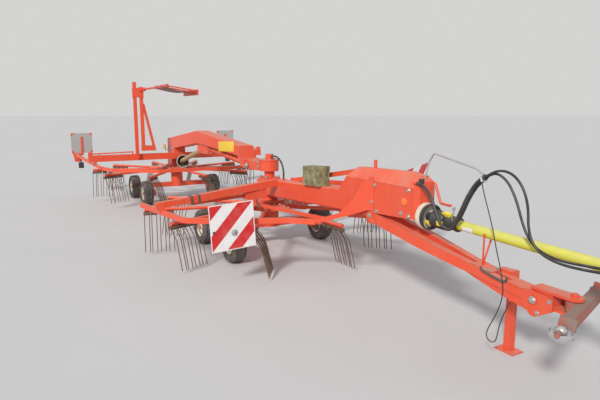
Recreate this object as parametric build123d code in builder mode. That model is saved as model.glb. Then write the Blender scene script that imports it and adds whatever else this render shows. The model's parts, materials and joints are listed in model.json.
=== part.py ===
from build123d import *
import os
from math import asin, cos, hypot, radians, sin, tan

# Twin-rotor rotary rake, folded in line for the road and parked on its front stand.
# Millimetres. +X points to the hitch, +Y to the left, +Z up. The origin is on the ground,
# at the middle of the machine's length and width. Places called "ahead" count from the front rotor.

# Overall layout
rotor_spacing = 4000
front_reach = 4500
rear_reach = 1500
front_x = (rotor_spacing + rear_reach - front_reach) / 2
rear_x = front_x - rotor_spacing
front_end_x = front_x + front_reach
tail_x = rear_x - rear_reach
fit_gap = 0.3
running_gap = 0.05
plate = 8

# Wheels
tyre_radius = 210
tyre_width = 165
bead_radius = 104
bead_width = 120
rim_wall = 5
axle_radius = 17
axle_seat_radius = 30
axle_cap_radius = 26
hub_radius = 34
hub_length = 110
wheel_track = 680
wheel_fore = 520
wheel_aft = 430
single_wheel_x = 40
chassis_z = 275
chassis_width = 100
chassis_height = 80
rocker_y = 530
rocker_width = 50
bracket_y = 575

# Rotors
arm_count = 10
arm_phase = 0.1
rotor_z = {"front": 490, "rear": 560}
rotor_x = {"front": front_x, "rear": rear_x}
arm_radius = 21
arm_sleeve_radius = 30
arm_sleeve_end = 470
arm_inner = 170
arm_outer = 1455
pillar_radius = 60
pillar_foot_radius = 105
hub_disc_radius = 270
hub_disc_height = 70
coil_radius = 21
coil_length = 76
wire_radius = 4.75
wire_spread = 27
tine_radii = (1165, 1258, 1351, 1430)
tine_knee_across = 88
tine_knee_drop = 115
tine_tip_across = 165
tine_drop = 415
tine_bend = 110

# Main beam
beam_width = 200
beam_height = 190
beam_back = -140
beam_front = 2170
beam_mid_z = 712
beam_rise = 0.057
beam_edge = 12

# Head box: distance ahead, height; roof and front corners are folded in
box_half_width = 106
box_ridge_half = 22
box_ridge_z = 1143
box_fold_z = 1032
box_front = beam_front + 550
box_corner = (30, 46)
box_outline = (
    (beam_front - 540, 846),
    (beam_front - 290, 1119),
    (beam_front + 396, box_ridge_z),
    (beam_front + 520, 1122),
    (box_front, 1080),
    (box_front, 800),
    (beam_front + 58, 769),
    (beam_front - 200, 700),
)
box_handle = ((-85, 1072), (10, 1069), (76, 924), (180, 921))
box_handle_y = 75
box_handle_radius = 10
roof_filter_x = 2085
roof_filter_radius = 15
roof_filter_top = 1196

# Front guard
guard_z = 600
guard_tube = 50
guard_thickness = 34
guard_corner_radius = 110
guard_front_route = ((-70, 1500), (960, 1335), (1230, 930), (1420, 480), (1600, 300))
brace_foot = (1575, 318)
brace_head = (2210, box_half_width)
# Brace plate: share of the way from foot to head, height
brace_outline = (
    (0, guard_z - guard_tube / 2),
    (0.58, 702),
    (0.9, 782),
    (1, 790),
    (1, 1040),
    (0.84, 1036),
    (0.68, 862),
    (0.46, 722),
    (0.2, 660),
    (0, guard_z + guard_tube / 2),
)
tie_tube = 30
tie_route = ((425, 400), (999, 275), (1500, 150), (1650, 290))

# Side arms: ahead, distance from the middle, height
side_arm_tube = 76
side_arm_slide = 60
side_arm_root = (380, 100, 812)
side_arm_joint = (441, 1130, 700)
side_arm_tip = (450, 1478, 669)
arm_box = (385, 365, 700)
arm_box_size = (70, 253, 100)
strut_tube = 34
strut_root = (372, 470, 690)
strut_tip = (400, 1100, 656)

# Weathered box on the beam, and the stay beside it
top_box_span = (1055, 1368)
top_box_side = (-132, -10)
top_box_height = 192
top_stay_low = (470, 62, 835)
top_stay_high = (1860, 62, 1085)
top_stay_width = 30
top_stay_height = 44

# Rear guard
rear_guard_z = 690
rear_beam_x = 300
rear_beam_tube = 96
rear_beam_height = 106
rear_beam_z = 820
rear_beam_reach = 1560
rear_post_inset = 111
rear_post_y = rear_beam_reach - rear_post_inset
rear_corner_inset = 140
rear_tail_out = 40
rear_board_inset = 98
rear_guard_route = (
    (1560, 720),
    (1090, 1300),
    (640, rear_beam_reach - rear_corner_inset),
    (-rear_reach, rear_beam_reach + rear_tail_out),
)
rear_guard_corner_radius = 150
tail_z = 790
tail_trim = (100, 4000, 200)
rear_head_low = 840
rear_head_high = 960
rear_line_radius = 11
rear_line_z = 912
rear_line_inner = 838

# Boards: ahead of the front or rear rotor, y, z; the table adds their side, roll and yaw
board_wall = 3
near_board = (1375, -1024, 591)
far_board = (1359, 1130, 822)
front_board_side = 423
rear_board = (-1300, rear_beam_reach - rear_board_inset, 998)
rear_board_side = 380
board_table = {
    "front_boards": (
        (front_x + near_board[0], near_board[1], near_board[2], front_board_side, 3.5, 0),
        (front_x + far_board[0], far_board[1], far_board[2], front_board_side, 8, 15),
    ),
    "rear_boards": (
        (rear_x + rear_board[0], -rear_board[1], rear_board[2], rear_board_side, 0, 0),
        (rear_x + rear_board[0], rear_board[1], rear_board[2], rear_board_side, 0, 0),
    ),
}
board_post_reach = 120

# Drawbar beams: ahead, height of the top, depth, outer face, width
drawbar_sections = (
    (2110, 792, 92, 103, 58),
    (2320, 750, 88, 100, 58),
    (2680, 692, 88, 96, 57),
    (2917, 648, 76, 92, 57),
    (3186, 602, 67, 72, 56),
    (3514, 551, 56, 66, 54),
    (3740, 532, 54, 65, 54),
)
drawbar_end = drawbar_sections[-1][0]
drawbar_strip = ((3130, 545), (3339, 490), (3515, 450), (3740, 413), (3740, 480), (3520, 505), (3295, 530))
drawbar_strip_y = (18, 58)
drawbar_gusset_x = 2960
drawbar_gusset_length = 70
drawbar_plates = ((3240, 3400), (3530, 3730))
drawbar_plate_half = 60

# Hitch fork and the crosshead, which stands turned as it was unhitched
hitch_pin_x = 3955
hitch_z = 520
hitch_pin_radius = 20
hitch_turn = 20
cheek_y = 60
cheek_outline = ((3660, 452), (3725, 400), (3750, 396), (3866, 462), (3866, 538), (3700, 556), (3660, 545))
cheek_boss_x = 3735
cheek_boss_radius = 28
fork_block = (3705, 3850)
lug_radius = 50
lug_spacing = 90
lug_thickness = 16
crosshead_half = 356
crosshead_ahead = 46
crosshead_depth = 64
crosshead_height = 64
link_pin_radius = 14
link_pin_length = 140
link_ball_radius = 28
bowl_radius = 64
bowl_wall = 5
end_plate_outline = ((0, -60), (90, -60), (104, 50), (20, 62))

# Parking stand
stand_at = 3420
stand_y = 150
stand_pivot_z = 520
stand_pin_radius = 12
stand_tube = 50
stand_foot = (150, 110)

# Input shaft: distance ahead of the front rotor, height
shaft_back = (2700, 826)
shaft_front = (front_reach, 781)
shaft_run = Vector(shaft_front[0] - shaft_back[0], 0, shaft_front[1] - shaft_back[1]).normalized()
shaft_length = hypot(shaft_front[0] - shaft_back[0], shaft_front[1] - shaft_back[1])
shaft_tube_radius = 35
shaft_tube_start = 360
shaft_yoke_length = 300
shaft_tube_end = shaft_length - shaft_yoke_length
shaft_pivot = 120
shaft_ball_radius = 30
ring_radius = 80
ring_end = 34
cone_end = 92
cone_root_radius = 93
cone_mouth_radius = 97
cone_wall = 6
joint_radius = 60
joint_end = 245
joint_neck_radius = 46
yoke_radius = 42
yoke_grip = 60
yoke_collar_radius = 50
yoke_neck_radius = 34
yoke_bore_radius = 17.5
rest_at = 3290
rest_lean = 36
rest_wire_radius = 6

# Swivel column and drum
swivel_radius = 110
swivel_low = 902
swivel_high = 1036
swivel_cap = 14
column_radius = 62
column_core_radius = 48
column_foot = 190
core_top = 1100
boom_pin_x = -420
boom_pin_z = 930
boom_pin_radius = 20
ear_inner = 82
ear_outer = 106
ear_rise = 42
ear_reach = 50
ear_web_x = -150
ear_web = 60

# Rear boom: side outline, ahead and height
boom_half_width = 100
boom_nose_half = 78
boom_end = -4180
boom_edge = 14
boom_outline = (
    (-690, 1160),
    (-680, 1002),
    (-345, 985),
    (-345, 880),
    (-430, 872),
    (-650, 905),
    (-700, 965),
    (-760, 1030),
    (-1810, 1080),
    (-2450, 1106),
    (boom_end, 900),
    (boom_end, 1110),
    (-2450, 1300),
)

# Drive line under the boom
drive_tube_radius = 44
drive_tube_front = (-735, 938)
drive_tube_back = (-1975, 1028)
drive_flange_radius = 70
drive_box = ((-2500, 955), (-1995, 955), (-1995, 1120), (-2500, 1120))
drive_box_half = 75
inner_shaft_radius = 38
inner_shaft_front = (-2495, 995)
cone_back = -3645
cone_front = -3575
inner_cone_z = 722
inner_cone_radius = 110
inner_cone_root = 72
inner_neck_radius = 38

# Swath curtain: two mast tubes side by side in front of the rear beam, and the bar at the top
mast_tube = 54
mast_x = rear_beam_x + rear_beam_tube / 2 + 3 + mast_tube / 2
mast_y = (-774, -667)
mast_pivot_z = rear_beam_z
mast_foot_z = (770, 940)
mast_head_z = (2085, 2005)
mast_collar_z = (1830, 1990)
mast_pin_radius = 13
stay_tube = 40
stay_high = (-640, 1720)
stay_low = (-480, 960)
foot_plate = ((-700, 930), (-455, 930), (-470, 1010), (-700, 1030))
curtain_bar_y = -630
curtain_bar_z = 1966
curtain_bar_radius = 17
curtain_bar_length = 1570
curtain_length = 690
curtain_rail = (-178, 1880)
curtain_rail_size = (24, 84)
curtain_sag_z = 1845
curtain_knuckle = 40
curtain_arm = 18

# Hoses and the pull cord: radius, then the route's points, ahead, y and height
hose_y = -85
supply_hose_radius = 8
supply_hose_half_gap = 9
box_hose_radius = 11
joint_hose_radius = 17
boom_hose_radius = 10
pull_cord_radius = 3.5
gland_depth = 30
connector_radius = 13
connector_length = 60
holder_radius = 7
holder_route = ((2700, 0, 1105), (2741, 0, 1240), (2800, -12, 1299), (3262, -80, 1236), (3335, -85, 1204))
hook_share = 0.6
hook_wall = 7
hook_half = 5
holder_bend = 28
box_hose_route = (
    (2712, hose_y, 1073),
    (2768, hose_y, 1070),
    (2830, hose_y, 1030),
    (2880, hose_y, 965),
    (2918, hose_y, 890),
    (2955, hose_y, 828),
    (3005, hose_y, 790),
    (3062, hose_y, 790),
    (3105, hose_y, 825),
    (3130, hose_y, 872),
)
joint_hose_route = (
    (3130, hose_y, 872),
    (3165, hose_y, 937.8),
    (3205, hose_y, 1025),
    (3255, hose_y, 1105),
    (3305, hose_y, 1160),
    (3355, hose_y, 1192),
)
left_hose_y = hose_y + supply_hose_half_gap
right_hose_y = hose_y - supply_hose_half_gap
supply_hose_left_route = (
    (3355, left_hose_y, 1192),
    (3400, left_hose_y, 1220.8),
    (3462, left_hose_y - 1, 1212),
    (3520, left_hose_y, 1170),
    (3566, left_hose_y - 1, 1105),
    (3602, left_hose_y, 1030),
    (3634, left_hose_y - 1, 950),
    (3676, left_hose_y, 872),
    (3740, left_hose_y - 2, 815),
    (3826, left_hose_y, 786),
    (3925, left_hose_y - 2, 780),
    (4030, left_hose_y, 787),
    (4135, left_hose_y - 2, 796),
    (4240, left_hose_y, 800),
    (4340, left_hose_y - 2, 797),
    (4430, left_hose_y - 2, 790),
)
supply_hose_right_route = (
    (3355, right_hose_y, 1192),
    (3405, right_hose_y, 1224),
    (3475, right_hose_y - 3, 1246),
    (3552, right_hose_y - 4, 1236),
    (3618, right_hose_y - 5, 1190),
    (3664, right_hose_y - 6, 1120),
    (3688, right_hose_y - 5, 1035),
    (3694, right_hose_y - 6, 948),
    (3716, right_hose_y - 5, 868),
    (3770, right_hose_y - 4, 806),
    (3850, right_hose_y - 3, 776),
    (3945, right_hose_y - 4, 766),
    (4048, right_hose_y - 3, 770),
    (4150, right_hose_y - 4, 780),
    (4250, right_hose_y - 3, 785),
    (4345, right_hose_y - 4, 782),
    (4430, right_hose_y - 4, 775),
)
boom_hose_route = (
    (70, 0, 1078),
    (146, 0, 1087),
    (232, 0, 1074),
    (308, 0, 1034),
    (358, 0, 970),
    (376, 0, 902),
    (368, 0, 850),
)
pull_cord_route = (
    (3342, -111, 1160),
    (3364, -111, 1090),
    (3398, -109, 1005),
    (3430, -107, 922),
    (3458, -104, 835),
    (3482, -103, 747),
    (3512, -102, 664),
    (3538, -101, 580),
    (3550, -100, 494),
    (3536, -99, 411),
    (3507, -98, 334),
    (3470, -98, 262),
    (3438, -99, 190),
    (3444, -97, 150),
    (3478, -95, 134),
    (3510, -93, 152),
    (3518, -90, 195),
    (3524, -84, 262),
    (3540, -74, 335),
    (3560, -64, 390),
    (3570, -58, 434),
)

os.makedirs("parts", exist_ok=True)
nodes = []


def keep(builder, name):
    """Name a finished piece and list it for writing."""
    builder.part.label = name
    nodes.append((name, builder.part))


def ahead(x, y, z):
    """Point given by its distance ahead of the front rotor."""
    return (front_x + x, y, z)


def bar(start, end, width, height, mode=Mode.ADD):
    """Straight bar of rectangular section between two points, its width level."""
    run = Vector(*end) - Vector(*start)
    across = Vector(0, 0, 1).cross(run) if hypot(run.X, run.Y) > 1e-6 else Vector(0, 1, 0)
    with BuildSketch(Plane(origin=start, x_dir=across, z_dir=run)) as section:
        Rectangle(width, height)
    extrude(section.sketch, amount=run.length, mode=mode)


def rod(start, end, radius, mode=Mode.ADD):
    """Straight round rod between two points."""
    run = Vector(*end) - Vector(*start)
    with BuildSketch(Plane(origin=start, z_dir=run)) as section:
        Circle(radius)
    extrude(section.sketch, amount=run.length, mode=mode)


def bent_rod(points, radius, bends):
    """Round rod that follows a route, bent at its corners."""
    with BuildLine() as route:
        FilletPolyline(*points, radius=bends)
    with BuildSketch(Plane(origin=route.line @ 0, z_dir=route.line % 0)) as section:
        Circle(radius)
    sweep(section.sketch, path=route.line)


def side_plate(points, y, thickness, mode=Mode.ADD):
    """Plate with its outline in the XZ plane, ahead and height, from y to y plus thickness."""
    with BuildSketch(Plane(origin=(front_x, y, 0), x_dir=(1, 0, 0), z_dir=(0, -1, 0))) as outline:
        Polygon(*points, align=None)
    extrude(outline.sketch, amount=-thickness, mode=mode)


def level_rail(route, side, x, z, width, height, corner):
    """Rail of rectangular section that follows a level route, bent round its corners."""
    points = [(x + px, side * py) for px, py in route]
    with BuildSketch(Plane.XY.offset(z - height / 2)) as outline:
        with BuildLine() as line:
            FilletPolyline(*points, radius=corner)
        trace(line.line, line_width=width)
    extrude(outline.sketch, amount=height)


def largest_bends(points):
    """Bend radii of a hose, each as large as the two runs beside it allow."""
    route = [Vector(*point) for point in points]
    radii = []
    for before, corner, after in zip(route, route[1:], route[2:]):
        turn = (corner - before).get_angle(after - corner)
        shorter = min((corner - before).length, (after - corner).length)
        radii.append(0.45 * shorter / tan(radians(turn / 2)))
    return radii


def hose(points, radius, name):
    """Hose along straight runs joined by tangent arcs, in a node of its own."""
    route = [ahead(*point) for point in points]
    bends = largest_bends(route)
    with BuildPart() as tube:
        bent_rod(route, radius, bends)
    print(name, "smallest bend", round(min(bends)), "of", 2 * radius, "through; volume", round(tube.part.volume))
    keep(tube, name)


def gland(points, radius):
    """Stub in line with a hose's first run, so that the hose meets it face to face."""
    start = Vector(*ahead(*points[0]))
    run = (Vector(*ahead(*points[1])) - start).normalized()
    rod(tuple(start - run * gland_depth), tuple(start), radius)


def beam_low(x):
    """Height of the main beam's underside at a distance ahead of the front rotor."""
    return beam_mid_z + beam_rise * x - beam_height / 2


def beam_high(x):
    """Height of the main beam's top at a distance ahead of the front rotor."""
    return beam_low(x) + beam_height


def guard_side_y(x):
    """Distance of the front guard's long side from the middle, at a distance ahead of the front rotor."""
    (x0, y0), (x1, y1) = guard_front_route[:2]
    return y0 + (x - x0) / (x1 - x0) * (y1 - y0)


def guard_x(y):
    """How far ahead of the front rotor the front guard's slanting leg lies, at a distance from the middle."""
    (x0, y0), (x1, y1) = guard_front_route[1:3]
    return x0 + (y - y0) / (y1 - y0) * (x1 - x0)


def drawbar_top(x):
    """Height of the drawbar's upper edge at a distance ahead of the front rotor."""
    for (x0, top0, *rest0), (x1, top1, *rest1) in zip(drawbar_sections, drawbar_sections[1:]):
        if x0 <= x <= x1:
            return top0 + (x - x0) / (x1 - x0) * (top1 - top0)


def shaft_ring(start, end, radius, mode=Mode.ADD):
    """Round length of the input shaft, measured from the head box."""
    with BuildSketch(shaft_plane.offset(start)) as section:
        Circle(radius)
    extrude(section.sketch, amount=end - start, mode=mode)


# Main beam, with the drive shaft running inside it
with BuildPart() as main_beam:
    side_plate(
        (
            (beam_back, beam_low(beam_back)),
            (beam_front, beam_low(beam_front)),
            (beam_front, beam_high(beam_front)),
            (beam_back, beam_high(beam_back)),
        ),
        -beam_width / 2,
        beam_width,
    )
    fillet(main_beam.edges().filter_by(lambda e: abs(e.tangent_at(0).X) > 0.9), radius=beam_edge)
    gland_top = boom_hose_route[::-1]
    gland(gland_top, boom_hose_radius + 5)
keep(main_beam, "main_beam")

# Drawbar: two tapering beams that close in towards the hitch, each with a strip below it, joined by
# plates and ending in a fork
with BuildPart() as drawbar:
    for side in (-1, 1):
        sections = []
        for px, top, depth, outer, width in drawbar_sections:
            centre = ahead(px, side * (outer - width / 2), top - depth / 2)
            with BuildSketch(Plane(origin=centre, x_dir=(0, 1, 0), z_dir=(1, 0, 0))) as cut:
                Rectangle(width, depth)
            sections.append(cut.sketch)
        loft(sections, ruled=True)
        inner, outer = drawbar_strip_y
        side_plate(drawbar_strip, side * inner, side * (outer - inner))
        side_plate(cheek_outline, side * cheek_y - plate / 2, plate)
        rod(
            ahead(cheek_boss_x, side * (cheek_y - plate), 498),
            ahead(cheek_boss_x, side * (cheek_y + plate), 498),
            cheek_boss_radius,
        )
    for back, front in drawbar_plates:
        side_plate(
            (
                (back, drawbar_top(back) - plate / 2),
                (front, drawbar_top(front) - plate / 2),
                (front, drawbar_top(front) + plate / 2),
                (back, drawbar_top(back) + plate / 2),
            ),
            -drawbar_plate_half,
            2 * drawbar_plate_half,
        )
    gusset_z = drawbar_top(drawbar_gusset_x) - 30
    with Locations(ahead(drawbar_gusset_x, 0, gusset_z)):
        Box(drawbar_gusset_length, 2 * drawbar_sections[3][3] - drawbar_sections[3][4], plate)
    add(main_beam.part, mode=Mode.SUBTRACT)
    for lug_z in (hitch_z - lug_spacing / 2, hitch_z + lug_spacing / 2):
        with BuildSketch(Plane.XY.offset(lug_z - lug_thickness / 2)) as lug:
            with Locations((front_x + hitch_pin_x, 0)):
                Circle(lug_radius)
            with Locations((front_x + (hitch_pin_x + fork_block[0]) / 2, 0)):
                Rectangle(hitch_pin_x - fork_block[0], 2 * lug_radius)
        extrude(lug.sketch, amount=lug_thickness)
    with Locations(ahead(sum(fork_block) / 2, 0, hitch_z)):
        Box(fork_block[1] - fork_block[0], 2 * lug_radius - 10, lug_spacing)
    rod(
        ahead(hitch_pin_x, 0, hitch_z - lug_spacing / 2 - lug_thickness),
        ahead(hitch_pin_x, 0, hitch_z + lug_spacing / 2 + lug_thickness + 12),
        hitch_pin_radius,
    )
    gland(pull_cord_route[::-1], pull_cord_radius + 2.5)
keep(drawbar, "drawbar")

# Head box: folded roof and front corners, sloping down on to the beam behind, with a bent handle tube
with BuildPart() as head_box:
    side_plate(box_outline, -box_half_width, 2 * box_half_width)
    with BuildSketch(Plane(origin=ahead(0, 0, 0), x_dir=(0, 1, 0), z_dir=(1, 0, 0))) as gable:
        Polygon(
            (-box_half_width, 0),
            (box_half_width, 0),
            (box_half_width, box_fold_z),
            (box_ridge_half, box_ridge_z),
            (-box_ridge_half, box_ridge_z),
            (-box_half_width, box_fold_z),
            align=None,
        )
    extrude(gable.sketch, amount=box_front, mode=Mode.INTERSECT)
    for side in (-1, 1):
        with BuildSketch(Plane.XY) as corner:
            Polygon(
                (front_x + box_front - box_corner[0], side * box_half_width),
                (front_x + box_front, side * (box_half_width - box_corner[1])),
                (front_x + box_front, side * box_half_width),
                align=None,
            )
        extrude(corner.sketch, amount=box_ridge_z, mode=Mode.SUBTRACT)
    add(main_beam.part, mode=Mode.SUBTRACT)
    add(drawbar.part, mode=Mode.SUBTRACT)
    rod(ahead(roof_filter_x, 0, box_fold_z), ahead(roof_filter_x, 0, roof_filter_top), roof_filter_radius)
    bent_rod(
        [ahead(box_front + px, box_handle_y, pz) for px, pz in box_handle], box_handle_radius, holder_bend
    )
    gland(box_hose_route, box_hose_radius + 4)
keep(head_box, "head_box")

# Front guard: a bent rail on each side, a brace plate up to the head box and a tie back to the side arm
with BuildPart() as front_guard:
    for side in (-1, 1):
        level_rail(guard_front_route, side, front_x, guard_z, guard_thickness, guard_tube, guard_corner_radius)
        foot = Vector(front_x + brace_foot[0], side * brace_foot[1], 0)
        head = Vector(front_x + brace_head[0], side * brace_head[1], 0)
        span = (head - foot).length
        web_plane = Plane(origin=foot, x_dir=head - foot, z_dir=(head - foot).cross(Vector(0, 0, 1)))
        with BuildSketch(web_plane) as web:
            Polygon(*[(along * span, height) for along, height in brace_outline], align=None)
        extrude(web.sketch, amount=plate / 2, both=True)
        level_rail(tie_route, side, front_x, guard_z, tie_tube, tie_tube, tie_tube)
    add(head_box.part, mode=Mode.SUBTRACT)
    add(drawbar.part, mode=Mode.SUBTRACT)
keep(front_guard, "front_guard")

# Side arms that carry the guard's tails from the main beam: a thick arm, a sliding end and a strut
with BuildPart() as front_guard_arms:
    for side in (-1, 1):
        root, joint, tip, strut_in, strut_out, box_at = [
            ahead(px, side * py, pz)
            for px, py, pz in (side_arm_root, side_arm_joint, side_arm_tip, strut_root, strut_tip, arm_box)
        ]
        bar(root, joint, side_arm_tube, side_arm_tube)
        bar(joint, tip, side_arm_slide, side_arm_slide)
        bar(strut_in, strut_out, strut_tube, strut_tube)
        with Locations(box_at):
            Box(*arm_box_size)
        tie_x, tie_y = tie_route[0]
        with Locations(ahead(tie_x - 10, side * tie_y, (guard_z + arm_box[2]) / 2 - 8)):
            Box(3 * plate, 40, arm_box[2] - guard_z + tie_tube / 2)
        with Locations(ahead(side_arm_tip[0], side * guard_side_y(side_arm_tip[0]), (guard_z + tip[2]) / 2)):
            Box(side_arm_slide, guard_thickness + 2 * plate, tip[2] - guard_z)
    add(main_beam.part, mode=Mode.SUBTRACT)
    add(front_guard.part, mode=Mode.SUBTRACT)
keep(front_guard_arms, "front_guard_arms")

# Weathered khaki box strapped on top of the beam, and the stay beside it
with BuildPart() as top_box:
    back, front = top_box_span
    side_plate(
        (
            (back, beam_high(back)),
            (front, beam_high(front)),
            (front, beam_high(front) + top_box_height),
            (back, beam_high(back) + top_box_height),
        ),
        top_box_side[0],
        top_box_side[1] - top_box_side[0],
    )
keep(top_box, "top_box")

with BuildPart() as top_stay:
    bar(ahead(*top_stay_low), ahead(*top_stay_high), top_stay_width, top_stay_height)
    add(main_beam.part, mode=Mode.SUBTRACT)
    add(head_box.part, mode=Mode.SUBTRACT)
keep(top_stay, "top_stay")

# Rotor supports: a pillar through the rotor's hub, a cross beam, a rocker for the wheel pair on the
# right and a bracket for the single wheel on the left
for place in ("front", "rear"):
    hub_x = rotor_x[place]
    hub_low = rotor_z[place] - hub_disc_height / 2
    hub_high = rotor_z[place] + hub_disc_height / 2
    offset = hub_x - front_x
    with BuildPart() as frame:
        rod((hub_x, 0, chassis_z - 40), (hub_x, 0, hub_high + fit_gap), pillar_radius)
        rod((hub_x, 0, chassis_z - 40), (hub_x, 0, hub_low - fit_gap), pillar_foot_radius)
        bar((hub_x + 10, -rocker_y, chassis_z), (hub_x + 10, bracket_y, chassis_z), chassis_width, chassis_height)
        side_plate(
            (
                (offset - wheel_aft - 45, tyre_radius - 40),
                (offset - wheel_aft + 45, tyre_radius - 40),
                (offset, chassis_z - 30),
                (offset + wheel_fore - 45, tyre_radius - 40),
                (offset + wheel_fore + 45, tyre_radius - 40),
                (offset + wheel_fore + 30, tyre_radius + 40),
                (offset + 90, chassis_z + 50),
                (offset - 90, chassis_z + 50),
                (offset - wheel_aft - 30, tyre_radius + 40),
            ),
            -rocker_y,
            -rocker_width,
        )
        side_plate(
            (
                (offset + single_wheel_x - 55, chassis_z + 40),
                (offset + single_wheel_x + 55, chassis_z + 40),
                (offset + single_wheel_x + 40, tyre_radius - 45),
                (offset + single_wheel_x - 40, tyre_radius - 45),
            ),
            bracket_y,
            -rocker_width / 2,
        )
        inner = wheel_track - hub_length / 2
        outer = wheel_track + hub_length / 2
        for wheel_x, side, seat in (
            (wheel_fore, -1, rocker_y),
            (-wheel_aft, -1, rocker_y),
            (single_wheel_x, 1, bracket_y),
        ):
            for start, end, radius in (
                (seat, inner - fit_gap, axle_seat_radius),
                (seat, outer + 14, axle_radius),
                (outer + fit_gap, outer + 10, axle_cap_radius),
            ):
                rod((hub_x + wheel_x, side * start, tyre_radius), (hub_x + wheel_x, side * end, tyre_radius), radius)
    keep(frame, f"{place}_chassis")

# Gooseneck boom to the rear rotor, its nose narrowed between the drum's ears
with BuildPart() as boom:
    side_plate(boom_outline, -boom_half_width, 2 * boom_half_width)
    fillet(
        boom.edges().filter_by(lambda e: abs(e.tangent_at(0).X) > 0.9 and e.center().Z > 1150),
        radius=boom_edge,
    )
    for side in (-1, 1):
        with Locations(ahead(boom_pin_x, side * (boom_nose_half + 20), boom_pin_z)):
            Box(240, 40, 180, mode=Mode.SUBTRACT)
    with Locations(Location(ahead(boom_pin_x, 0, boom_pin_z), (90, 0, 0))):
        Cylinder(boom_pin_radius + running_gap, 300, mode=Mode.SUBTRACT)
keep(boom, "boom")

# Gear housings on the pillars
with BuildPart() as front_gearbox:
    housing_low = rotor_z["front"] + hub_disc_height / 2 + fit_gap
    rod((front_x, 0, housing_low), (front_x, 0, housing_low + 40), 190)
    rod((front_x, 0, housing_low + 40), (front_x, 0, beam_mid_z), 98)
    add(main_beam.part, mode=Mode.SUBTRACT)
keep(front_gearbox, "front_gearbox")

with BuildPart() as rear_gearbox:
    housing_low = rotor_z["rear"] + hub_disc_height / 2 + fit_gap
    beam_face = rear_beam_x - rear_beam_tube / 2
    rod((rear_x, 0, housing_low), (rear_x, 0, housing_low + 40), 190)
    with Locations((rear_x, 0, (housing_low + rear_head_low) / 2)):
        Box(290, 240, rear_head_low - housing_low)
    with Locations((rear_x + (beam_face - 180) / 2, 0, (rear_head_low + rear_head_high) / 2)):
        Box(beam_face + 180, 200, rear_head_high - rear_head_low)
    add(boom.part, mode=Mode.SUBTRACT)
keep(rear_gearbox, "rear_gearbox")

# Rotors: a hub disc with round arms, and spring tines in pairs under each arm
for place in ("front", "rear"):
    hub_x = rotor_x[place]
    arm_z = rotor_z[place]
    turns = [radians(360 / arm_count * (index + arm_phase)) for index in range(arm_count)]
    with BuildPart() as rotor:
        rod((hub_x, 0, arm_z - hub_disc_height / 2), (hub_x, 0, arm_z + hub_disc_height / 2), hub_disc_radius)
        for turn in turns:
            for reach, radius in ((arm_outer, arm_radius), (arm_sleeve_end, arm_sleeve_radius)):
                rod(
                    (hub_x + arm_inner * cos(turn), arm_inner * sin(turn), arm_z),
                    (hub_x + reach * cos(turn), reach * sin(turn), arm_z),
                    radius,
                )
        with Locations((hub_x, 0, arm_z)):
            Cylinder(pillar_radius + running_gap, 2 * hub_disc_height, mode=Mode.SUBTRACT)
    keep(rotor, f"{place}_rotor")

    coil_z = arm_z - arm_radius - coil_radius - fit_gap
    with BuildPart() as pair:
        rod((-coil_length / 2, 0, 0), (coil_length / 2, 0, 0), coil_radius)
        for spread in (-wire_spread, wire_spread):
            wire = (
                (spread, 0, 0),
                (spread, tine_knee_across, -tine_knee_drop),
                (spread, tine_tip_across, -tine_drop),
            )
            bent_rod(wire, wire_radius, tine_bend)
    tine_places = [
        Plane(
            origin=(hub_x + radius * cos(turn), radius * sin(turn), coil_z),
            x_dir=(cos(turn), sin(turn), 0),
            z_dir=(0, 0, 1),
        ).location
        for turn in turns
        for radius in tine_radii
    ]
    tines = Compound(children=[pair.part.solid().moved(place_at) for place_at in tine_places])
    tines.label = f"{place}_tines"
    nodes.append((f"{place}_tines", tines))

# Wheels: a dished rim on each stub axle and a tyre round it
wheel_table = [
    (f"{place}_{name}", rotor_x[place] + wheel_x, side)
    for place in ("front", "rear")
    for name, wheel_x, side in (
        ("lead", wheel_fore, -1),
        ("trail", -wheel_aft, -1),
        ("single", single_wheel_x, 1),
    )
]
half_bead = bead_width / 2
half_tyre = tyre_width / 2
# Half of a section, across and radius, from one bead up to the tread
tyre_outline = (
    (-half_bead + 8, bead_radius + fit_gap),
    (-half_bead + 3, bead_radius + 16),
    (-half_tyre + 6, 140),
    (-half_tyre, 165),
    (-half_tyre + 8, 192),
    (-half_tyre + 20, 204),
    (-44, tyre_radius),
)
for wheel, wheel_x, side in wheel_table:
    axle_plane = Plane(origin=(wheel_x, side * wheel_track, tyre_radius), x_dir=(0, side, 0), z_dir=(side, 0, 0))
    with BuildPart() as tyre:
        with BuildSketch(axle_plane):
            Polygon(*tyre_outline, *[(-u, r) for u, r in reversed(tyre_outline)], align=None)
        revolve(axis=Axis(axle_plane.origin, (0, 1, 0)))
    keep(tyre, f"{wheel}_tyre")
    with BuildPart() as rim:
        with BuildSketch(axle_plane):
            Polygon(
                (-hub_length / 2, axle_radius + running_gap),
                (hub_length / 2, axle_radius + running_gap),
                (hub_length / 2, hub_radius),
                (16, hub_radius + 8),
                (8, 70),
                (26, bead_radius - rim_wall - 1),
                (half_bead, bead_radius - rim_wall),
                (half_bead + rim_wall, bead_radius + 11),
                (half_bead - 1, bead_radius + 11),
                (half_bead - 6, bead_radius),
                (-half_bead + 6, bead_radius),
                (-half_bead + 1, bead_radius + 11),
                (-half_bead - rim_wall, bead_radius + 11),
                (-half_bead, bead_radius - rim_wall),
                (18, bead_radius - rim_wall - 1),
                (0, 70),
                (8, hub_radius),
                (-hub_length / 2, hub_radius),
                align=None,
            )
        revolve(axis=Axis(axle_plane.origin, (0, 1, 0)))
    keep(rim, f"{wheel}_rim")

# Crosshead that turns on the drawbar's pin, with its link pins, balls and catch bowls
head_frame = Plane(
    origin=ahead(hitch_pin_x, 0, hitch_z),
    x_dir=(cos(radians(hitch_turn)), sin(radians(hitch_turn)), 0),
    z_dir=(0, 0, 1),
)


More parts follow.
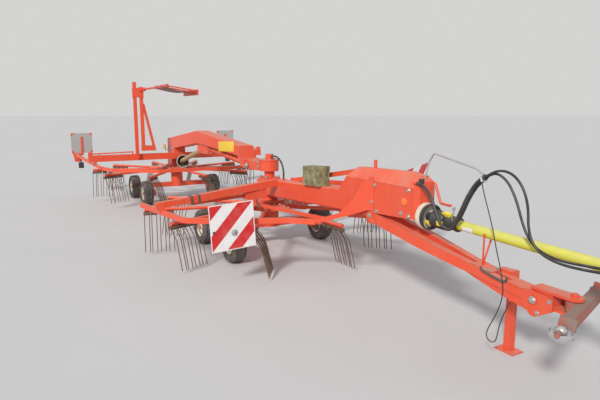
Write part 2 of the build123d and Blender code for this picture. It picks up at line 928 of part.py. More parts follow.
def head_point(x, y, z):
    """Point of the crosshead, given ahead of its pin, across and above it before it was turned."""
    return tuple(head_frame.from_local_coords(Vector(x, y, z)))


along_head = head_frame.y_dir
with BuildPart() as crosshead:
    rod(head_point(0, 0, -crosshead_height / 2), head_point(0, 0, crosshead_height / 2), lug_radius - 4)
    bar(
        head_point(crosshead_ahead, -crosshead_half, 0),
        head_point(crosshead_ahead, crosshead_half, 0),
        crosshead_depth,
        crosshead_height,
    )
    for side in (-1, 1):
        rod(
            head_point(crosshead_ahead, side * (crosshead_half - 10), 0),
            head_point(crosshead_ahead, side * (crosshead_half + link_pin_length), 0),
            link_pin_radius,
        )
        end_plane = Plane(
            origin=head_point(0, side * crosshead_half, 0), x_dir=head_frame.x_dir, z_dir=along_head * -1
        )
        with BuildSketch(end_plane) as end_plate:
            Polygon(*end_plate_outline, align=None)
        extrude(end_plate.sketch, amount=side * 10)
    rod(head_point(0, 0, -100), head_point(0, 0, 100), hitch_pin_radius + running_gap, mode=Mode.SUBTRACT)
keep(crosshead, "crosshead")

with BuildPart() as catch_bowls:
    for side in (-1, 1):
        ball_at = head_point(crosshead_ahead, side * (crosshead_half + bowl_radius + fit_gap), 0)
        with BuildSketch(Plane(origin=ball_at, x_dir=(1, 0, 0), z_dir=(0, -1, 0))):
            Circle(bowl_radius)
            Circle(bowl_radius - bowl_wall, mode=Mode.SUBTRACT)
            with Locations((bowl_radius / 2, -bowl_radius / 2)):
                Rectangle(bowl_radius, bowl_radius, mode=Mode.INTERSECT)
        revolve(axis=Axis(ball_at, (0, 0, 1)))
        with Locations(ball_at):
            Sphere(link_ball_radius)
        rod(ball_at, (ball_at[0], ball_at[1], hitch_z - bowl_radius + bowl_wall / 2), link_pin_radius)
    add(crosshead.part, mode=Mode.SUBTRACT)
keep(catch_bowls, "catch_bowls")

# Parking stand: a leg that folds back along the drawbar
stand_x = front_x + stand_at
stand_side = 1 if stand_y > 0 else -1
stand_face = stand_y - stand_side * (stand_tube / 2 + 6)
with BuildPart() as parking_stand:
    bar((stand_x, stand_y, stand_pivot_z + 45), (stand_x, stand_y, plate), stand_tube, stand_tube)
    with Locations((stand_x, stand_y, plate / 2)):
        Box(*stand_foot, plate)
    with Locations(Location((stand_x, stand_y, stand_pivot_z), (90, 0, 0))):
        Cylinder(stand_pin_radius + running_gap, 2 * stand_tube, mode=Mode.SUBTRACT)
keep(parking_stand, "parking_stand")

with BuildPart() as stand_bracket:
    with Locations((stand_x, stand_face - stand_side * 30, stand_pivot_z + 10)):
        Box(110, 60, 100)
    pin_end = stand_y + stand_side * (stand_tube / 2 + 9)
    rod((stand_x, stand_face, stand_pivot_z), (stand_x, pin_end, stand_pivot_z), stand_pin_radius)
    rod(
        (stand_x, stand_y + stand_side * (stand_tube / 2 + 1), stand_pivot_z),
        (stand_x, pin_end, stand_pivot_z),
        stand_pin_radius + 8,
    )
    add(drawbar.part, mode=Mode.SUBTRACT)
keep(stand_bracket, "stand_bracket")

# Input shaft at the head box: ring, cover ring, joint cover, guard tube and the loose front joint
shaft_plane = Plane(
    origin=ahead(shaft_back[0], 0, shaft_back[1]), x_dir=Vector(0, 0, 1).cross(shaft_run), z_dir=shaft_run
)
with BuildPart() as shaft_seat:
    shaft_ring(-40, ring_end, ring_radius)
    add(head_box.part, mode=Mode.SUBTRACT)
keep(shaft_seat, "shaft_ring")

with BuildPart() as shaft_cone:
    for root_radius, mouth_radius, start, mode in (
        (cone_root_radius, cone_mouth_radius, ring_end, Mode.ADD),
        (cone_root_radius - cone_wall, cone_mouth_radius - cone_wall, ring_end + plate, Mode.SUBTRACT),
    ):
        with BuildSketch(shaft_plane.offset(start)) as root_circle:
            Circle(root_radius)
        with BuildSketch(shaft_plane.offset(cone_end)) as mouth_circle:
            Circle(mouth_radius)
        loft([root_circle.sketch, mouth_circle.sketch], mode=mode)
    shaft_ring(ring_end, shaft_pivot - shaft_ball_radius - fit_gap, shaft_ball_radius + 4)
    add(head_box.part, mode=Mode.SUBTRACT)
keep(shaft_cone, "shaft_cone")

with BuildPart() as shaft_joint:
    shaft_ring(shaft_pivot, joint_end, joint_radius)
    shaft_ring(joint_end, shaft_tube_start, joint_neck_radius)
    with Locations(shaft_plane.offset(shaft_pivot).origin):
        Sphere(shaft_ball_radius)
keep(shaft_joint, "shaft_joint")

with BuildPart() as shaft_tube:
    shaft_ring(shaft_tube_start, shaft_tube_end, shaft_tube_radius)
keep(shaft_tube, "shaft_tube")

with BuildPart() as shaft_yoke:
    shaft_ring(shaft_tube_end, shaft_tube_end + 70, yoke_collar_radius)
    shaft_ring(shaft_tube_end + 70, shaft_length - yoke_grip, yoke_neck_radius)
    shaft_ring(shaft_length - yoke_grip, shaft_length + 10, yoke_radius)
    shaft_ring(shaft_length - yoke_grip, shaft_length + 10, yoke_bore_radius, mode=Mode.SUBTRACT)
    with Locations((front_end_x + 50, 0, shaft_front[1])):
        Box(100, 4 * yoke_radius, 4 * yoke_radius, mode=Mode.SUBTRACT)
keep(shaft_yoke, "shaft_yoke")

# Wire rest: two rods that lean forward and hold the input shaft between them above the drawbar
with BuildPart() as shaft_rest:
    rest_low = drawbar_top(rest_at)
    tube_height = shaft_back[1] + (rest_at - shaft_back[0]) * shaft_run.Z / shaft_run.X
    tube_gap = shaft_tube_radius + rest_wire_radius + fit_gap
    rest_spread = (tube_height - rest_low) * tan(asin(tube_gap / (tube_height - rest_low)))
    for side in (-1, 1):
        rod(ahead(rest_at, 0, rest_low), ahead(rest_at + rest_lean, side * rest_spread, tube_height), rest_wire_radius)
    add(drawbar.part, mode=Mode.SUBTRACT)
keep(shaft_rest, "shaft_rest")

# Swivel column and drum over the front rotor, and the ears that carry the boom's pin
with BuildPart() as column:
    rod((front_x, 0, beam_mid_z), (front_x, 0, swivel_low - fit_gap), column_radius)
    with Locations((front_x, 0, beam_high(0) + 6)):
        Box(column_foot, column_foot, 24)
    rod((front_x, 0, beam_mid_z), (front_x, 0, core_top), column_core_radius)
    gland(boom_hose_route, boom_hose_radius + 5)
    add(main_beam.part, mode=Mode.SUBTRACT)
    add(front_gearbox.part, mode=Mode.SUBTRACT)
keep(column, "swivel_column")

with BuildPart() as swivel_drum:
    rod((front_x, 0, swivel_low), (front_x, 0, swivel_high), swivel_radius)
    rod((front_x, 0, swivel_high - swivel_cap), (front_x, 0, swivel_high), swivel_radius + 4)
    for side in (-1, 1):
        side_plate(
            (
                (-40, swivel_low),
                (-40, swivel_high - swivel_cap),
                (boom_pin_x - ear_reach, boom_pin_z + ear_rise),
                (boom_pin_x - ear_reach, boom_pin_z - ear_rise),
            ),
            side * ear_outer,
            side * (ear_inner - ear_outer),
        )
    with Locations(ahead(ear_web_x, 0, (swivel_low + swivel_high) / 2)):
        Box(ear_web, 2 * ear_inner, swivel_high - swivel_low - 2 * swivel_cap)
    rod((front_x, 0, swivel_low - 5), (front_x, 0, swivel_high + 5), column_core_radius + running_gap, mode=Mode.SUBTRACT)
    rod(
        ahead(boom_pin_x, -ear_outer - 12, boom_pin_z),
        ahead(boom_pin_x, ear_outer + 12, boom_pin_z),
        boom_pin_radius,
    )
keep(swivel_drum, "swivel_drum")

# Drive line under the boom: tube, flange and angle box, then a bare shaft down to the rear gear housing
with BuildPart() as drive_tube:
    rod(ahead(drive_tube_front[0], 0, drive_tube_front[1]), ahead(drive_tube_back[0], 0, drive_tube_back[1]), drive_tube_radius)
    rod(
        ahead(drive_tube_back[0], 0, drive_tube_back[1]),
        ahead(drive_box[1][0] - 5, 0, drive_tube_back[1]),
        drive_flange_radius,
    )
    side_plate(drive_box, -drive_box_half, 2 * drive_box_half)
    add(boom.part, mode=Mode.SUBTRACT)
keep(drive_tube, "drive_tube")

with BuildPart() as inner_shaft:
    rod(
        ahead(inner_shaft_front[0], 0, inner_shaft_front[1]),
        ahead(cone_back + plate, 0, inner_cone_z),
        inner_shaft_radius,
    )
    add(drive_tube.part, mode=Mode.SUBTRACT)
keep(inner_shaft, "inner_shaft")

with BuildPart() as inner_cone:
    rod((rear_x + 145, 0, inner_cone_z), ahead(cone_back, 0, inner_cone_z), inner_neck_radius)
    for root_radius, mouth_radius, start, mode in (
        (inner_cone_root, inner_cone_radius, cone_back, Mode.ADD),
        (inner_cone_root - cone_wall, inner_cone_radius - cone_wall, cone_back + plate, Mode.SUBTRACT),
    ):
        with BuildSketch(Plane(origin=ahead(start, 0, inner_cone_z), z_dir=(1, 0, 0))) as root_circle:
            Circle(root_radius)
        with BuildSketch(Plane(origin=ahead(cone_front, 0, inner_cone_z), z_dir=(1, 0, 0))) as mouth_circle:
            Circle(mouth_radius)
        loft([root_circle.sketch, mouth_circle.sketch], mode=mode)
    add(inner_shaft.part, mode=Mode.SUBTRACT)
keep(inner_cone, "inner_cone")

# Rear cross beam with the plates down to its guard, the mast's pin and a thin line rod above it
with BuildPart() as rear_beam:
    beam_x = rear_x + rear_beam_x
    bar(
        (beam_x, -rear_beam_reach, rear_beam_z),
        (beam_x, rear_beam_reach, rear_beam_z),
        rear_beam_tube,
        rear_beam_height,
    )
    for side in (-1, 1):
        with Locations((beam_x, side * rear_post_y, (rear_beam_z + rear_guard_z) / 2)):
            Box(rear_beam_tube - 16, 3 * plate, rear_beam_z - rear_guard_z)
        with Locations((beam_x, side * (rear_beam_reach - 30), rear_beam_z + rear_beam_height / 2 + 20)):
            Box(60, 60, 60)
        with Locations((beam_x, side * rear_line_inner, rear_beam_z + rear_beam_height / 2 + 20)):
            Box(40, 2 * plate, 60)
        rod(
            (beam_x, side * rear_line_inner, rear_line_z),
            (beam_x, side * (rear_beam_reach - 30), rear_line_z - 14),
            rear_line_radius,
        )
    rod(
        (beam_x, mast_y[0], mast_pivot_z),
        (rear_x + mast_x + mast_tube / 2 + 16, mast_y[0], mast_pivot_z),
        mast_pin_radius,
    )
keep(rear_beam, "rear_beam")

with BuildPart() as rear_guard:
    across = [(rear_x + px, -py) for px, py in reversed(rear_guard_route[:-1])]
    across += [(rear_x + px, py) for px, py in rear_guard_route[:-1]]
    with BuildSketch(Plane.XY.offset(rear_guard_z - guard_tube / 2)) as ring:
        with BuildLine() as ring_line:
            FilletPolyline(*across, radius=rear_guard_corner_radius)
        trace(ring_line.line, line_width=guard_thickness)
    extrude(ring.sketch, amount=guard_tube)
    for side in (-1, 1):
        corner_x, corner_y = rear_guard_route[-2]
        bar(
            (rear_x + corner_x + 60, side * (corner_y - 5), rear_guard_z - 3),
            (tail_x, side * rear_guard_route[-1][1], tail_z),
            guard_thickness,
            guard_tube,
        )
    with Locations((tail_x - tail_trim[0] / 2, 0, tail_z)):
        Box(tail_trim[0], tail_trim[1], tail_trim[2], mode=Mode.SUBTRACT)
    add(rear_beam.part, mode=Mode.SUBTRACT)
keep(rear_guard, "rear_guard")


def board_plane(row):
    """Plane of a board's back, turned out by its yaw."""
    x, y, z, side, roll, yaw = row
    turn = radians(yaw)
    return Plane(origin=(x, y, z), x_dir=(-sin(turn), cos(turn), 0), z_dir=(cos(turn), sin(turn), 0))


# Square boards on flat posts at the guards' corners
for boards, rows in board_table.items():
    with BuildPart() as panels:
        for row in rows:
            with BuildSketch(board_plane(row)) as face:
                Rectangle(row[3], row[3], rotation=row[4])
            extrude(face.sketch, amount=board_wall)
    keep(panels, boards)

with BuildPart() as front_board_posts:
    for row in board_table["front_boards"]:
        x, y, z = row[:3]
        low = min(z - board_post_reach, guard_z - guard_tube / 2)
        with BuildSketch(board_plane(row)) as post:
            with Locations((0, (low + board_post_reach - z) / 2)):
                Rectangle(40, board_post_reach + z - low)
        extrude(post.sketch, amount=-10)
        bar((x - 6, y, guard_z), (front_x + guard_x(abs(y)), y, guard_z), 30, 30)
    add(front_guard.part, mode=Mode.SUBTRACT)
keep(front_board_posts, "front_board_posts")

with BuildPart() as rear_board_posts:
    for x, y, z, board_side, roll, yaw in board_table["rear_boards"]:
        side = 1 if y > 0 else -1
        bar((x + 8, y, tail_z - 25), (x + 8, y, z + board_post_reach), 40, 10)
        bar((x + 8, y, tail_z), (x + 8, side * rear_guard_route[-1][1], tail_z), 30, 30)
    add(rear_guard.part, mode=Mode.SUBTRACT)
    for x, y, z, board_side, roll, yaw in board_table["rear_boards"]:
        with Locations((x - 50, y, z)):
            Box(100 + 2 * board_wall, board_side + 100, board_side + 100, mode=Mode.SUBTRACT)
keep(rear_board_posts, "rear_board_posts")

# Curtain mast: two tubes side by side before the rear beam, a collar, a stay and the long bar at the top
mast_at = rear_x + mast_x
with BuildPart() as mast:
    for y, low, high in zip(mast_y, mast_foot_z, mast_head_z):
        bar((mast_at, y, low), (mast_at, y, high), mast_tube, mast_tube)
    collar_low, collar_high = mast_collar_z
    with Locations((mast_at, sum(mast_y) / 2, (collar_low + collar_high) / 2)):
        Box(mast_tube + 2 * plate, mast_y[1] - mast_y[0] + mast_tube + 2 * plate, collar_high - collar_low)
    bar((mast_at, stay_high[0], stay_high[1]), (mast_at, stay_low[0], stay_low[1]), stay_tube, stay_tube)
    with BuildSketch(Plane(origin=(mast_at - mast_tube / 2, 0, 0), x_dir=(0, 1, 0), z_dir=(1, 0, 0))) as foot:
        Polygon(*foot_plate, align=None)
    extrude(foot.sketch, amount=mast_tube)
    with Locations((mast_at + 10, (mast_y[1] + curtain_bar_y) / 2, curtain_bar_z)):
        Box(mast_tube + 40, curtain_bar_y - mast_y[1] + 60, 60)
    rod(
        (mast_at, curtain_bar_y, curtain_bar_z),
        (mast_at + curtain_bar_length, curtain_bar_y, curtain_bar_z),
        curtain_bar_radius,
    )
    rod(
        (mast_at - 2 * mast_tube, mast_y[0], mast_pivot_z),
        (mast_at + 2 * mast_tube, mast_y[0], mast_pivot_z),
        mast_pin_radius + running_gap,
        mode=Mode.SUBTRACT,
    )
keep(mast, "curtain_mast")

curtain_front = mast_at + curtain_bar_length - 20
curtain_back = curtain_front - curtain_length
rail_y, rail_z = curtain_rail
with BuildPart() as curtain_frame:
    for knuckle_x in (curtain_back, (curtain_back + curtain_front - curtain_knuckle) / 2, curtain_front - curtain_knuckle):
        rod(
            (knuckle_x, curtain_bar_y, curtain_bar_z),
            (knuckle_x + curtain_knuckle, curtain_bar_y, curtain_bar_z),
            curtain_bar_radius + plate,
        )
        middle = knuckle_x + curtain_knuckle / 2
        bar((middle, curtain_bar_y, curtain_bar_z), (middle, rail_y, rail_z + 20), curtain_arm, curtain_arm)
    bar((curtain_back, rail_y, rail_z), (curtain_front, rail_y, rail_z), *curtain_rail_size)
    rod(
        (curtain_back - 50, curtain_bar_y, curtain_bar_z),
        (curtain_front + 50, curtain_bar_y, curtain_bar_z),
        curtain_bar_radius + running_gap,
        mode=Mode.SUBTRACT,
    )
keep(curtain_frame, "curtain_frame")

with BuildPart() as curtain_sheet:
    with BuildSketch(Plane(origin=(curtain_back + 10, 0, 0), x_dir=(0, 1, 0), z_dir=(1, 0, 0))) as sag:
        with BuildLine() as sag_line:
            ThreePointArc(
                (curtain_bar_y + 21, curtain_bar_z - 17),
                ((curtain_bar_y + rail_y) / 2, curtain_sag_z),
                (rail_y - curtain_rail_size[0] / 2 - 0.7, rail_z - 30),
            )
        trace(sag_line.line, line_width=3)
    extrude(sag.sketch, amount=curtain_length - 20)
    add(curtain_frame.part, mode=Mode.SUBTRACT)
keep(curtain_sheet, "curtain_sheet")

# Rod with a hook that holds the hoses up, the hoses themselves and the pull cord
with BuildPart() as hose_holder:
    bent_rod([ahead(*point) for point in holder_route], holder_radius, holder_bend)
    before, end = [Vector(*ahead(*point)) for point in joint_hose_route[-2:]]
    with BuildSketch(Plane(origin=before + (end - before) * hook_share, z_dir=end - before)) as hook:
        Circle(joint_hose_radius + fit_gap + hook_wall)
        Circle(joint_hose_radius + fit_gap, mode=Mode.SUBTRACT)
    extrude(hook.sketch, amount=hook_half, both=True)
    add(head_box.part, mode=Mode.SUBTRACT)
    gland(pull_cord_route, pull_cord_radius + 2.5)
keep(hose_holder, "hose_holder")

hose(box_hose_route, box_hose_radius, "box_hose")
hose(joint_hose_route, joint_hose_radius, "joint_hose")
hose(supply_hose_left_route, supply_hose_radius, "supply_hose_left")
hose(supply_hose_right_route, supply_hose_radius, "supply_hose_right")
hose(boom_hose_route, boom_hose_radius, "boom_hose")
hose(pull_cord_route, pull_cord_radius, "pull_cord")

with BuildPart() as hose_connectors:
    for route in (supply_hose_left_route, supply_hose_right_route):
        end = Vector(*ahead(*route[-1]))
        run = (end - Vector(*ahead(*route[-2]))).normalized()
        rod(tuple(end), tuple(end + run * connector_length), connector_radius - supply_hose_half_gap / 3)
keep(hose_connectors, "hose_connectors")

for name, part in nodes:
    export_step(part, f"parts/{name}.step")
    print(name, len(part.solids()), round(part.volume / 1e6, 2), "litres")
whole = Compound(children=[part for name, part in nodes]).bounding_box()
print("whole", whole)
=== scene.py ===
import bpy
import bmesh
import json
import math
from mathutils import Matrix, Vector

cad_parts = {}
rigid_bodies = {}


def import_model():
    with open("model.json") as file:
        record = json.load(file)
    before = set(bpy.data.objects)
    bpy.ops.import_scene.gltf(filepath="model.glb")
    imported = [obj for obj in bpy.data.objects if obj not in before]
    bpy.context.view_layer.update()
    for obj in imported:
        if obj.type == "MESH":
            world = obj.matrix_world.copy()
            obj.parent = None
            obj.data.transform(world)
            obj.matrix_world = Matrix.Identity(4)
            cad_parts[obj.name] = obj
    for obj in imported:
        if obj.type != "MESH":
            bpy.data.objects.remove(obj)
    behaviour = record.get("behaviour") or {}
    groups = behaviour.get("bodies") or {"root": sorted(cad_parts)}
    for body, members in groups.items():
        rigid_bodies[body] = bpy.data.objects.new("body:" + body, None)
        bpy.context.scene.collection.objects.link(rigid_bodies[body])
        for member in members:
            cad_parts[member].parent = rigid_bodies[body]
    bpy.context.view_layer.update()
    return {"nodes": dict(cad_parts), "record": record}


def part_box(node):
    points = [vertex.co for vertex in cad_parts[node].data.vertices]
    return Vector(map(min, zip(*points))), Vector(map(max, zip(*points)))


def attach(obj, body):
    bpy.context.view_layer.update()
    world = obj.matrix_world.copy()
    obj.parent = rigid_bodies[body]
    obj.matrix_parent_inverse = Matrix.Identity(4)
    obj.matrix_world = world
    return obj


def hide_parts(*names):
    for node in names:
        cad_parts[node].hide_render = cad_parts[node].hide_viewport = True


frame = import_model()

# Places are given as in the part's source: millimetres ahead of the front rotor, y and height
FRONT_X = 500
REAR_AHEAD = -4000
AHEAD, BACK, UP = (1, 0, 0), (-1, 0, 0), (0, 0, 1)
SIDES = (-1, 1)


def at(x, y, z):
    return Vector(((x + FRONT_X) / 1000, y / 1000, z / 1000))


def show(name, data):
    """Object that shows some data."""
    made = bpy.data.objects.new(name, data)
    bpy.context.scene.collection.objects.link(made)
    return made


def turn_spots(radius, count, share=0.0):
    """Pairs of places spread evenly round a circle, turned by a share of one step."""
    turns = [math.tau * (i + share) / count for i in range(count)]
    return [(radius * math.cos(turn), radius * math.sin(turn)) for turn in turns]


# Camera, at the photograph's angle
PHOTO_WIDTH = 600
FOCAL_PX = 530
SENSOR_MM = 36
CLIP_END = 200
EYE = Vector((6.20, -2.72, 1.60))
HEADING = Vector((-0.876, 0.482, 0))
PITCH = math.radians(9.5)


def make_camera():
    data = bpy.data.cameras.new("eye")
    data.sensor_width = SENSOR_MM
    data.lens = SENSOR_MM * FOCAL_PX / PHOTO_WIDTH
    data.clip_end = CLIP_END
    eye = show("eye", data)
    look = HEADING.normalized() * math.cos(PITCH) - Vector((0, 0, math.sin(PITCH)))
    eye.location = EYE
    eye.rotation_euler = look.to_track_quat("-Z", "Y").to_euler()
    bpy.context.scene.camera = eye


make_camera()
bpy.context.scene.view_settings.view_transform = "Standard"


# Nodes: every node of a finish, of the bolts and of the sky comes from here

def join(tree, socket, value):
    """Link a socket, or give it a steady value."""
    if isinstance(value, Amount):
        value = value.socket
    if isinstance(value, bpy.types.NodeSocket):
        tree.links.new(value, socket)
    elif hasattr(value, "__len__") and len(value) == 3 and socket.type == "RGBA":
        socket.default_value = (*value, 1)
    else:
        socket.default_value = value


def add_node(tree, kind, settings=None, feeds=None):
    made = tree.nodes.new(kind)
    for name, value in (settings or {}).items():
        setattr(made, name, value)
    for socket, value in (feeds or {}).items():
        join(tree, made.inputs[socket], value)
    return made


class Amount:
    """A number that changes over a surface."""

    def __init__(self, coat, socket):
        self.coat = coat
        self.socket = socket

    def __add__(self, other):
        return self.coat.maths("ADD", self, other)

    def __radd__(self, other):
        return self.coat.maths("ADD", other, self)

    def __sub__(self, other):
        return self.coat.maths("SUBTRACT", self, other)

    def __rsub__(self, other):
        return self.coat.maths("SUBTRACT", other, self)

    def __mul__(self, other):
        return self.coat.maths("MULTIPLY", self, other)

    def __rmul__(self, other):
        return self.coat.maths("MULTIPLY", other, self)

    def __truediv__(self, other):
        return self.coat.maths("DIVIDE", self, other)

    def __mod__(self, other):
        return self.coat.maths("FLOORED_MODULO", self, other)

    def __gt__(self, other):
        return self.coat.maths("GREATER_THAN", self, other)

    def __lt__(self, other):
        return self.coat.maths("LESS_THAN", self, other)

    def __abs__(self):
        return self.coat.maths("ABSOLUTE", self)

    def sine(self):
        return self.coat.maths("SINE", self)

    def angle(self, other):
        return self.coat.maths("ARCTAN2", self, other)

    def clip(self):
        """Kept between 0 and 1."""
        kept = self * 1
        kept.socket.node.use_clamp = True
        return kept


class Coat:
    """A material and the nodes that make its finish."""

    def __init__(self, name, **steady):
        self.material = bpy.data.materials.new(name)
        self.material.use_nodes = True
        self.tree = self.material.node_tree
        self.shader = self.tree.nodes["Principled BSDF"]
        for socket, value in steady.items():
            self.shader.inputs[socket.replace("_", " ")].default_value = value

    def node(self, kind, settings=None, feeds=None):
        return add_node(self.tree, kind, settings, feeds)

    def maths(self, operation, *values):
        made = self.node("ShaderNodeMath", {"operation": operation}, dict(enumerate(values)))
        return Amount(self, made.outputs[0])

    def vectors(self, operation, first, second):
        return self.node("ShaderNodeVectorMath", {"operation": operation}, {0: first, 1: second}).outputs

    def dot(self, vector, along):
        return Amount(self, self.vectors("DOT_PRODUCT", vector, along)["Value"])

    def spot(self):
        return self.node("ShaderNodeTexCoord").outputs["Object"]

    def parts(self, vector):
        made = self.node("ShaderNodeSeparateXYZ", None, {"Vector": vector})
        return [Amount(self, made.outputs[i]) for i in range(3)]

    def facing(self):
        return self.parts(self.node("ShaderNodeNewGeometry").outputs["Normal"])

    def noise(self, scale, detail, stretch=(1, 1, 1)):
        moved = self.vectors("MULTIPLY", self.spot(), stretch)[0]
        made = self.node(
            "ShaderNodeTexNoise",
            {"noise_dimensions": "3D"},
            {"Vector": moved, "Scale": scale, "Detail": detail, "Roughness": 0.55},
        )
        return Amount(self, made.outputs["Fac"])

    def edge(self, radius):
        """1 along edges and 0 on faces."""
        round_normal = self.node("ShaderNodeBevel", {"samples": 4}, {"Radius": radius}).outputs[0]
        flat_normal = self.node("ShaderNodeNewGeometry").outputs["Normal"]
        return (1 - self.dot(round_normal, flat_normal)) * 4

    def mix(self, share, low, high):
        made = self.node("ShaderNodeMix", {"data_type": "RGBA"}, {"Factor": share, 6: low, 7: high})
        return made.outputs[2]

    def finish(self, colour, rough, height, strength, depth, metal=None):
        """Colour, roughness and bump: its height, its strength and its depth in metres."""
        bump = self.node("ShaderNodeBump", None, {"Height": height, "Strength": strength, "Distance": depth})
        join(self.tree, self.shader.inputs["Base Color"], colour)
        join(self.tree, self.shader.inputs["Roughness"], rough)
        join(self.tree, self.shader.inputs["Normal"], bump.outputs[0])
        if metal is not None:
            join(self.tree, self.shader.inputs["Metallic"], metal)
        return self.material


# Colours that finishes share
DUST = (0.40, 0.33, 0.25)
RUST = (0.10, 0.045, 0.022)
ORANGE = (0.74, 0.058, 0.016)
# Lighter orange for upward faces: partly sun-faded paint, partly painted highlight
FADED_AND_HIGHLIT = (0.80, 0.165, 0.078)
BOARD_RED = (0.62, 0.010, 0.013)
BOARD_WHITE = (0.80, 0.79, 0.77)


def paint(name, fresh, faded_and_highlit, dusty=0.55, worn=0.7, rough=0.36, rust=RUST):
    """Sprayed enamel: dusty on top and lighter on top (partly sun-fading, partly painted highlight), chipped
    along its edges.
    """
    coat = Coat(name)
    up = coat.facing()[2]
    clouds = coat.noise(4.2, 4)
    streaks = coat.noise(11, 4, (1, 1, 0.22))
    specks = coat.noise(85, 3)
    # Lighter tone laid most on upward faces: partly sun-fading, partly painted highlight
    fade_and_highlight = ((up * 0.5 + 0.22) * (clouds * 1.7 - 0.1)).clip()
    tone = coat.mix(fade_and_highlight, fresh, faded_and_highlit)
    dust = ((up * 0.7 + 0.18) * (streaks * 2.6 - 0.85) * dusty).clip()
    tone = coat.mix(dust, tone, DUST)
    bare = ((coat.edge(0.005) + specks * 2.1 - 1.75) * 5).clip() * worn
    tone = coat.mix(bare, tone, rust)
    return coat.finish(tone, rough + dust * 0.4 + bare * 0.3, clouds + specks * 0.25, 0.12, 0.0015)


def rough_paint():
    """Grimy paint round the hitch."""
    coat = Coat("grimy_paint")
    up = coat.facing()[2]
    clouds = coat.noise(9, 5)
    grit = coat.noise(120, 4)
    soil = ((clouds * 2.6 - 0.72) + up * 0.35).clip() * 0.92
    tone = coat.mix(soil, (0.46, 0.06, 0.03), (0.24, 0.20, 0.165))
    bare = ((coat.edge(0.006) + grit * 2 - 1.5) * 4).clip() * 0.8
    tone = coat.mix(bare, tone, RUST)
    return coat.finish(tone, 0.5 + soil * 0.35, clouds + grit * 0.6, 0.35, 0.002)


def weathered():
    """Old khaki box, blotched with lichen and dark stains."""
    coat = Coat("weathered_khaki")
    clouds = coat.noise(16, 5)
    grain = coat.noise(95, 4, (1, 1, 2.5))
    stain = ((clouds * 3.2 - 1.25) + (grain * 2 - 1) * 0.35).clip()
    tone = coat.mix(stain, (0.30, 0.27, 0.135), (0.085, 0.072, 0.035))
    lichen = (grain * 3.4 - 1.85).clip() * 0.75
    tone = coat.mix(lichen, tone, (0.52, 0.48, 0.30))
    return coat.finish(tone, 0.88 - stain * 0.1, grain + clouds * 0.6, 0.6, 0.003)


def steel(name, colour, stain, metallic=0.75, rough=0.34, spread=0.5):
    """Plated or bare metal, blotched and stained."""
    coat = Coat(name)
    clouds = coat.noise(26, 4)
    specks = coat.noise(160, 3)
    blotch = ((clouds + specks * 0.4 - 0.62) * 4 * spread).clip()
    tone = coat.mix(blotch, colour, stain)
    return coat.finish(tone, rough + blotch * 0.35, specks, 0.15, 0.0006, metallic - blotch * 0.5)


def black(name, colour=(0.022, 0.022, 0.024), dusty=0.5, rough=0.45, grain=260):
    """Moulded black plastic or rubber with dust on top."""
    coat = Coat(name)
    up = coat.facing()[2]
    clouds = coat.noise(12, 4)
    fine = coat.noise(grain, 2)
    dust = ((up * 0.5 + 0.28) * (clouds * 2.4 - 0.7) * dusty).clip()
    return coat.finish(coat.mix(dust, colour, (0.26, 0.22, 0.18)), rough + dust * 0.3, fine, 0.16, 0.0005)


# Tyre: where tread and side begin and end, in metres from the axle, and where the shoulder lugs begin
TREAD_RADIUS = 0.199
SIDE_RADIUS = 0.192
BEAD_RADIUS = 0.13
SHOULDER_Y = 0.055


def tyre_rubber(name, centre):
    """Ribbed tread with cross cuts, dusty in its grooves."""
    coat = Coat(name)
    x, y, z = coat.parts(coat.spot())
    across = abs(y - centre.y)
    dx, dz = x - centre.x, z - centre.z
    radius = coat.maths("SQRT", dx * dx + dz * dz)
    turn = dz.angle(dx)
    tread = radius > TREAD_RADIUS
    ribs = ((across * 180).sine() * 3 + 1.2).clip()
    zigzag = ((turn * 46 + across * 60).sine() * 4 + 1.8).clip()
    lugs = 1 - (1 - ((turn * 30).sine() * 5 + 1.5).clip()) * (across > SHOULDER_Y)
    groove = 1 - ribs * (0.55 + zigzag * 0.45) * lugs
    side = ((radius * 420).sine() * 0.5 + 0.5) * (radius < SIDE_RADIUS) * (radius > BEAD_RADIUS)
    wear = coat.noise(15, 4)
    dust = ((wear * 1.8 - 0.45) + groove * tread * 0.35 + side * 0.12).clip() * 0.62
    tone = coat.mix(dust, (0.022, 0.021, 0.021), (0.23, 0.195, 0.165))
    height = 1 - groove * tread + side * 0.12 + coat.noise(240, 2) * 0.06
    return coat.finish(tone, 0.72 + dust * 0.2, height, 0.9, 0.006)


# Warning boards: sides in metres, places, and roll and yaw in degrees
BOARD_SIDE = 0.423
REAR_BOARD_SIDE = 0.380
NEAR_BOARD = (1375, -1024, 591)
FAR_BOARD = (1359, 1130, 822)
NEAR_TILT = (3.5, 0)
FAR_TILT = (8, 15)
REAR_BOARD_X = REAR_AHEAD - 1300
REAR_BOARD_Y = 1462
REAR_BOARD_Z = 998
RIM_SHARE = 0.018
RIGHT_HALF = (-2, 0)
LEFT_HALF = (0, 2)


def board_frame(place, side, roll, yaw, from_front=True):
    """A board's upper left corner as it is seen, and the ways across and down."""
    turn = math.radians(yaw)
    right = Vector((-math.sin(turn), math.cos(turn), 0))
    outward = Vector((math.cos(turn), math.sin(turn), 0))
    tilt = Matrix.Rotation(math.radians(roll), 3, outward)
    across, up = tilt @ right, tilt @ Vector(UP)
    if not from_front:
        across = -across
    corner = at(*place) - across * side / 2 + up * side / 2
    return corner, across, -up


